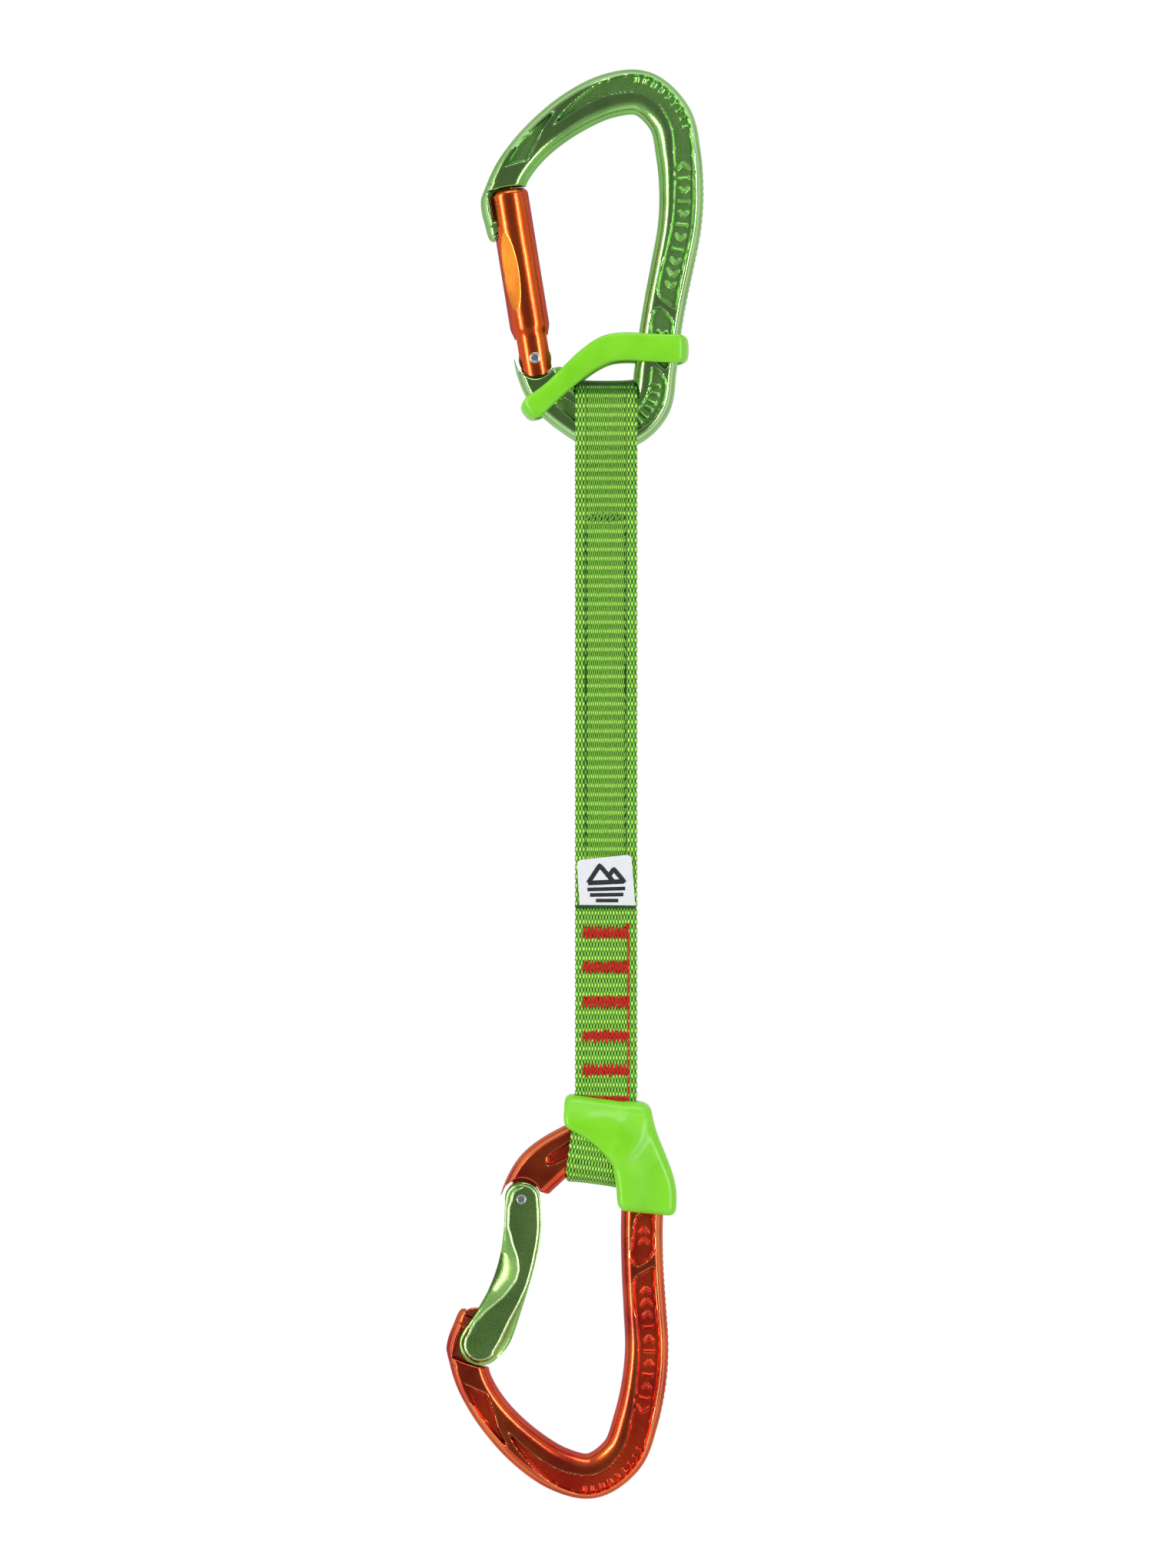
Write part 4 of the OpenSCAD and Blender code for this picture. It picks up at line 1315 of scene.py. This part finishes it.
# ---------------------------------------------------------------- elastomer
def retainer():
    """Band that loops round the spine and the corner of the base, one strap over each face."""
    strap = [  # x, z, height, from the spine to the base corner
        (11.6, -61.2, 7.5), (9.0, -61.2, 7.4), (4.0, -61.0, 7.3), (-1.5, -60.7, 7.3),
        (-6.5, -61.4, 7.2), (-11.5, -64.3, 6.4), (-16.5, -68.6, 5.7), (-20.5, -72.2, 5.4),
        (-23.8, -75.0, 5.9), (-25.2, -76.1, 6.4)]
    y_mid = BODY_T / 2 + 1.15
    line, _ = smooth_path(strap, 0.4, 30)
    n = len(line)
    t = np.gradient(line[:, :2], axis=0)
    t /= np.linalg.norm(t, axis=1, keepdims=True)
    height_dir = np.stack([-t[:, 1], t[:, 0]], 1)
    rows = []   # centre, outward normal, height direction, height, thickness

    def turn(end, ahead, up, height, reach, shrink):
        for a in np.linspace(0, math.pi, 33)[1:-1]:
            c, s = math.cos(a), math.sin(a)
            y = -y_mid * np.sign(c) * abs(c) ** 0.75
            xz = end + ahead * reach * abs(s) ** 0.62
            normal = np.array([ahead[0] * s, -c, ahead[1] * s])
            rows.append((np.array([xz[0], y, xz[1]]), normal, np.array([up[0], 0, up[1]]),
                         height * (1 - shrink * s), 2.1))

    for k in range(n):
        rows.append((np.array([line[k, 0], -y_mid, line[k, 1]]), np.array([0, -1.0, 0]),
                     np.array([height_dir[k, 0], 0, height_dir[k, 1]]), line[k, 2], 2.2))
    turn(line[-1, :2], t[-1], height_dir[-1], line[-1, 2], 2.5, 0.3)
    for k in range(n - 1, -1, -1):
        rows.append((np.array([line[k, 0], y_mid, line[k, 1]]), np.array([0, 1.0, 0]),
                     np.array([height_dir[k, 0], 0, height_dir[k, 1]]), line[k, 2], 2.2))
    mark = len(rows)
    turn(line[0, :2], -t[0], height_dir[0], line[0, 2], 2.15, 0.16)
    tail = rows[mark:]
    rows[mark:] = [(c * [1, -1, 1], m * [1, -1, 1], h, a, b) for c, m, h, a, b in tail]
    sides = 28
    a = circle(sides)
    cx = np.sign(np.cos(a)) * np.abs(np.cos(a)) ** 0.72
    cy = np.sign(np.sin(a)) * np.abs(np.sin(a)) ** 0.8
    verts = np.concatenate([c + np.outer(cx * tall / 2, up) + np.outer(cy * thick / 2, normal)
                            for c, normal, up, tall, thick in rows])
    return make_mesh("retainer_band", verts, grid_faces(len(rows), sides, True, True), sharp=60)


def keeper():
    """Moulded collar over the webbing that runs on into a sleeve round the spine."""
    collar = filleted([[-17.7, -92.2], [4.6, -92.2], [4.6, -83], [0, -75.6], [-4.6, -77.4], [-8.6, -80.4],
                       [-12.6, -82.4], [-17, -83.8]])
    sleeve = filleted([[-2, -92.2], [4.4, -92.2], [7.6, -84.8], [10.8, -79.4], [13.3, -74.7], [14.6, -70.8],
                       [15.2, -64.6], [0, -64.2], [-1.4, -71], [-2.9, -74.9], [-4.6, -77.4], [-4, -83]])
    steps = np.linspace(9, 19, 60)
    middle, side = line_at(BODY_LINE, steps)[:, :2], line_side(BODY_LINE, steps) * 5.55
    body = np.concatenate([middle + side, (middle - side)[::-1]])
    loop = np.array(loop_half(LOOP_NECK))

    def plate(d2, y, half, r):
        a, b = d2 + r, np.abs(y) - half + r
        outside = np.sqrt(np.maximum(a, 0) ** 2 + np.maximum(b, 0) ** 2)
        return outside + np.minimum(np.maximum(a, b), 0) - r

    def field(p):
        x, y, z = p.T
        xz = p[:, [0, 2]]
        grow = 4.2 + 4.4 * smooth((z + 95.5) / 11.5)
        grow = grow - np.maximum(grow - 6.8, 0) * smooth((x + 2) / 14)
        c = plate(polygon_distance(collar, xz), y, grow, 1.6)
        s = plate(polygon_distance(sleeve, xz), y, np.maximum(grow, 6.3), 2.4)
        soften = 2.0
        h = np.clip(0.5 + 0.5 * (s - c) / soften, 0, 1)
        d = s * (1 - h) + c * h - soften * h * (1 - h)
        # A plain oval boss on the front of the collar
        oval = np.sqrt(((x + 6.2) / 5.2) ** 2 + ((z + 86.4) / 2.6) ** 2)
        d = d - 0.3 * smooth((1.3 - oval) / 0.7) * (y > 0)
        side_gap = np.abs(x - BAR_X) - 8.2
        strap = np.maximum(np.maximum(side_gap, np.abs(y) - 2.5), z + 88)
        room = np.interp(z, loop[:, 1], loop[:, 0]) + 1.2
        web = np.maximum(np.maximum(side_gap, np.abs(y) - room), LOOP_NECK - z)
        metal = np.maximum(polygon_distance(body, xz), np.abs(y) - 4.65)
        return np.maximum(d, -np.minimum(np.minimum(strap, web), metal))

    verts, faces = surface_net(field, (-19, -9.9, -93.4), (16.4, 9.9, -63), 0.42)
    return make_mesh("keeper_moulded", lower_place(verts), faces, sharp=60)


# ---------------------------------------------------------------- assembly
SIDES = (("upper", upper_place, GREEN_METAL, "anodised_green", ORANGE_SATIN, "anodised_orange"),
         ("lower", lower_place, ORANGE_METAL, "anodised_orange", GREEN_SPARKLE, "anodised_green"))
for tag, place, metal, slot, gate_metal, gate_slot in SIDES:
    forged = body_shell().make(f"{tag}_body_forged", place, sharp=48)
    finish_piece(forged, metal, slot, f"{tag}_carabiner", [f"{tag}_body"])
    gate = straight_gate() if tag == "upper" else bent_gate()
    finish_piece(gate, gate_metal, gate_slot, f"{tag}_gate", [f"{tag}_gate"])
    finish_piece(rivet(f"{tag}_rivet_rolled", place), STEEL, "rivet_steel", f"{tag}_gate",
                 [f"{tag}_gate_rivet"])
    coil = coil_spring(f"{tag}_spring_coil", place)
    finish_piece(coil, SPRING, "spring_steel", None, [f"{tag}_gate_spring"])
    ends = place(gate_place(np.array([[SPRING_X, 0, SPRING_HEAD], [SPRING_X, 0, SPRING_FOOT]]))) * MM
    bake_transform(coil)
    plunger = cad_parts[f"{tag}_gate_plunger"]
    plunger.data.materials.clear()
    plunger.data.materials.append(STEEL)

web_a, web_b, web_c = build_webbing()
for web, nodes in ((web_a, ("webbing_top_loop", "webbing_strap_upper")), (web_b, ()),
                   (web_c, ("webbing_strap_lower", "webbing_bottom_loop"))):
    finish_piece(web, WEBBING, "webbing_green", None, nodes)
for web, above, below, z_top, z_low in ((web_a, "upper_carabiner", "strap_upper", -0.076, -0.100),
                                        (web_b, "strap_upper", "strap_lower", -0.138, -0.158),
                                        (web_c, "strap_lower", "lower_carabiner", -0.258, -0.272)):
    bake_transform(web)

for side_name, x in (("left", BAR_X - 5.3), ("right", BAR_X + 5.0)):
    for part, z_top, z_low, body in (("upper", -107.2, FLEX_Z + 3, "strap_upper"),
                                     ("lower", FLEX_Z - 3, LABEL_TOP + 0.3, "strap_lower")):
        stitches = stitch_line(x, z_top, z_low, WEB_T).make(f"side_stitches_{side_name}_{part}")
        finish_piece(stitches, GREEN_THREAD, "thread_green", body, [f"side_seam_{side_name}_{part}"])

tack_shell = Shell()
for side in (-1, 1):
    bartack(tack_shell, -11.6, -2.3, -104.9, 1.9, WEB_T + 0.05, side, 12, slant=0.45, radius=0.27, jag=0.4)
finish_piece(tack_shell.make("green_bartack_thread"), GREEN_THREAD, "thread_green", "strap_upper",
             ["green_bartack"])
for face, side in (("front", -1), ("back", 1)):
    finish_piece(red_bartacks(f"red_bartacks_{face}_thread", side), RED_THREAD, "thread_red",
                 "strap_lower", [f"red_bartacks_{face}"])
finish_piece(label(), LABEL, "label_white", "strap_lower", ["label"])
finish_piece(label_mark(), MARK_THREAD, "label_white", "strap_lower")
finish_piece(label_stitching(), DARK_THREAD, "thread_green", "strap_lower", ["label_stitch"])
finish_piece(retainer(), RUBBER, "elastomer_green", "upper_carabiner", ["upper_retainer"])
moulded = finish_piece(keeper(), RUBBER, "elastomer_green", None, ["lower_keeper"])
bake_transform(moulded)

# ---------------------------------------------------------------- stage, light and camera
scene = bpy.context.scene
scene.view_settings.view_transform = "Standard"
world = bpy.data.worlds.new("studio")
scene.world = world
world.use_nodes = True
tree = world.node_tree
tree.nodes.clear()
output = tree.nodes.new("ShaderNodeOutputWorld")
shown, cast = tree.nodes.new("ShaderNodeBackground"), tree.nodes.new("ShaderNodeBackground")
choose, path_kind = tree.nodes.new("ShaderNodeMixShader"), tree.nodes.new("ShaderNodeLightPath")
shown.inputs[0].default_value, shown.inputs[1].default_value = (1, 1, 1, 1), 1.0
# The room is bright all round and darker behind the camera, so flat metal reads dark between bright edges
coord, split = tree.nodes.new("ShaderNodeTexCoord"), tree.nodes.new("ShaderNodeSeparateXYZ")
room = tree.nodes.new("ShaderNodeValToRGB")
remap = tree.nodes.new("ShaderNodeMapRange")
remap.inputs["From Min"].default_value, remap.inputs["From Max"].default_value = -1.0, 1.0
tree.links.new(coord.outputs["Generated"], split.inputs[0])
tree.links.new(split.outputs[1], remap.inputs[0])
tree.links.new(remap.outputs[0], room.inputs[0])
stops = [(0.0, 0.3), (0.04, 0.34), (0.16, 0.8), (0.5, 1.3), (1.0, 1.3)]
while len(room.color_ramp.elements) < len(stops):
    room.color_ramp.elements.new(0.5)
for e, (at, level) in zip(room.color_ramp.elements, stops):
    e.position, e.color = at, (level, level, level, 1)
tree.links.new(room.outputs[0], cast.inputs[0])
level = tree.nodes.new("ShaderNodeMapRange")
level.inputs["To Min"].default_value, level.inputs["To Max"].default_value = 0.52, 0.6
tree.links.new(path_kind.outputs["Is Glossy Ray"], level.inputs["Value"])
tree.links.new(level.outputs[0], cast.inputs[1])
tree.links.new(path_kind.outputs["Is Camera Ray"], choose.inputs[0])
tree.links.new(cast.outputs[0], choose.inputs[1])
tree.links.new(shown.outputs[0], choose.inputs[2])
tree.links.new(choose.outputs[0], output.inputs[0])


def softbox(name, at, aim, size, power):
    data = bpy.data.lights.new(name, "AREA")
    data.shape, data.size, data.size_y, data.energy = "RECTANGLE", size[0], size[1], power
    lamp = bpy.data.objects.new(name, data)
    lamp.location = at
    lamp.rotation_euler = (Vector(aim) - Vector(at)).to_track_quat("-Z", "Y").to_euler()
    scene.collection.objects.link(lamp)


AIM = Vector((-0.0144, 0, -0.1742))
softbox("left_softbox", (-0.95, -0.75, -0.1), AIM, (0.22, 1.3), 9.5)
softbox("right_softbox", (0.8, -1.0, -0.1), AIM, (0.18, 1.2), 8.0)
softbox("top_softbox", (0.1, -0.5, 1.0), AIM, (1.0, 0.3), 4.0)

# Plain pale floor, below the frame of the main view
a = circle(96)
floor = make_mesh("floor", np.stack([300 * np.cos(a) - 14, 300 * np.sin(a), -425 + 0 * a], 1),
                  [list(range(len(a)))])
n = Nodes("floor_pale", Roughness=0.7)
speckle = n.noise(60.0, 3.0)
floor.data.materials.append(n.done(Base_Color=n.mix(speckle, srgb(236, 236, 236), srgb(246, 246, 246))))

DISTANCE, VIEW_HEIGHT = 1.6, 0.408
cam_data = bpy.data.cameras.new("camera")
cam_data.sensor_width = 36.0
cam_data.lens = 18.0 / (VIEW_HEIGHT / 2 / DISTANCE)
cam_data.clip_start, cam_data.clip_end = 0.05, 50
camera = bpy.data.objects.new("camera", cam_data)
camera.location = AIM + Vector((0, -DISTANCE, 0))
camera.rotation_euler = (math.pi / 2, 0, 0)
scene.collection.objects.link(camera)
scene.camera = camera
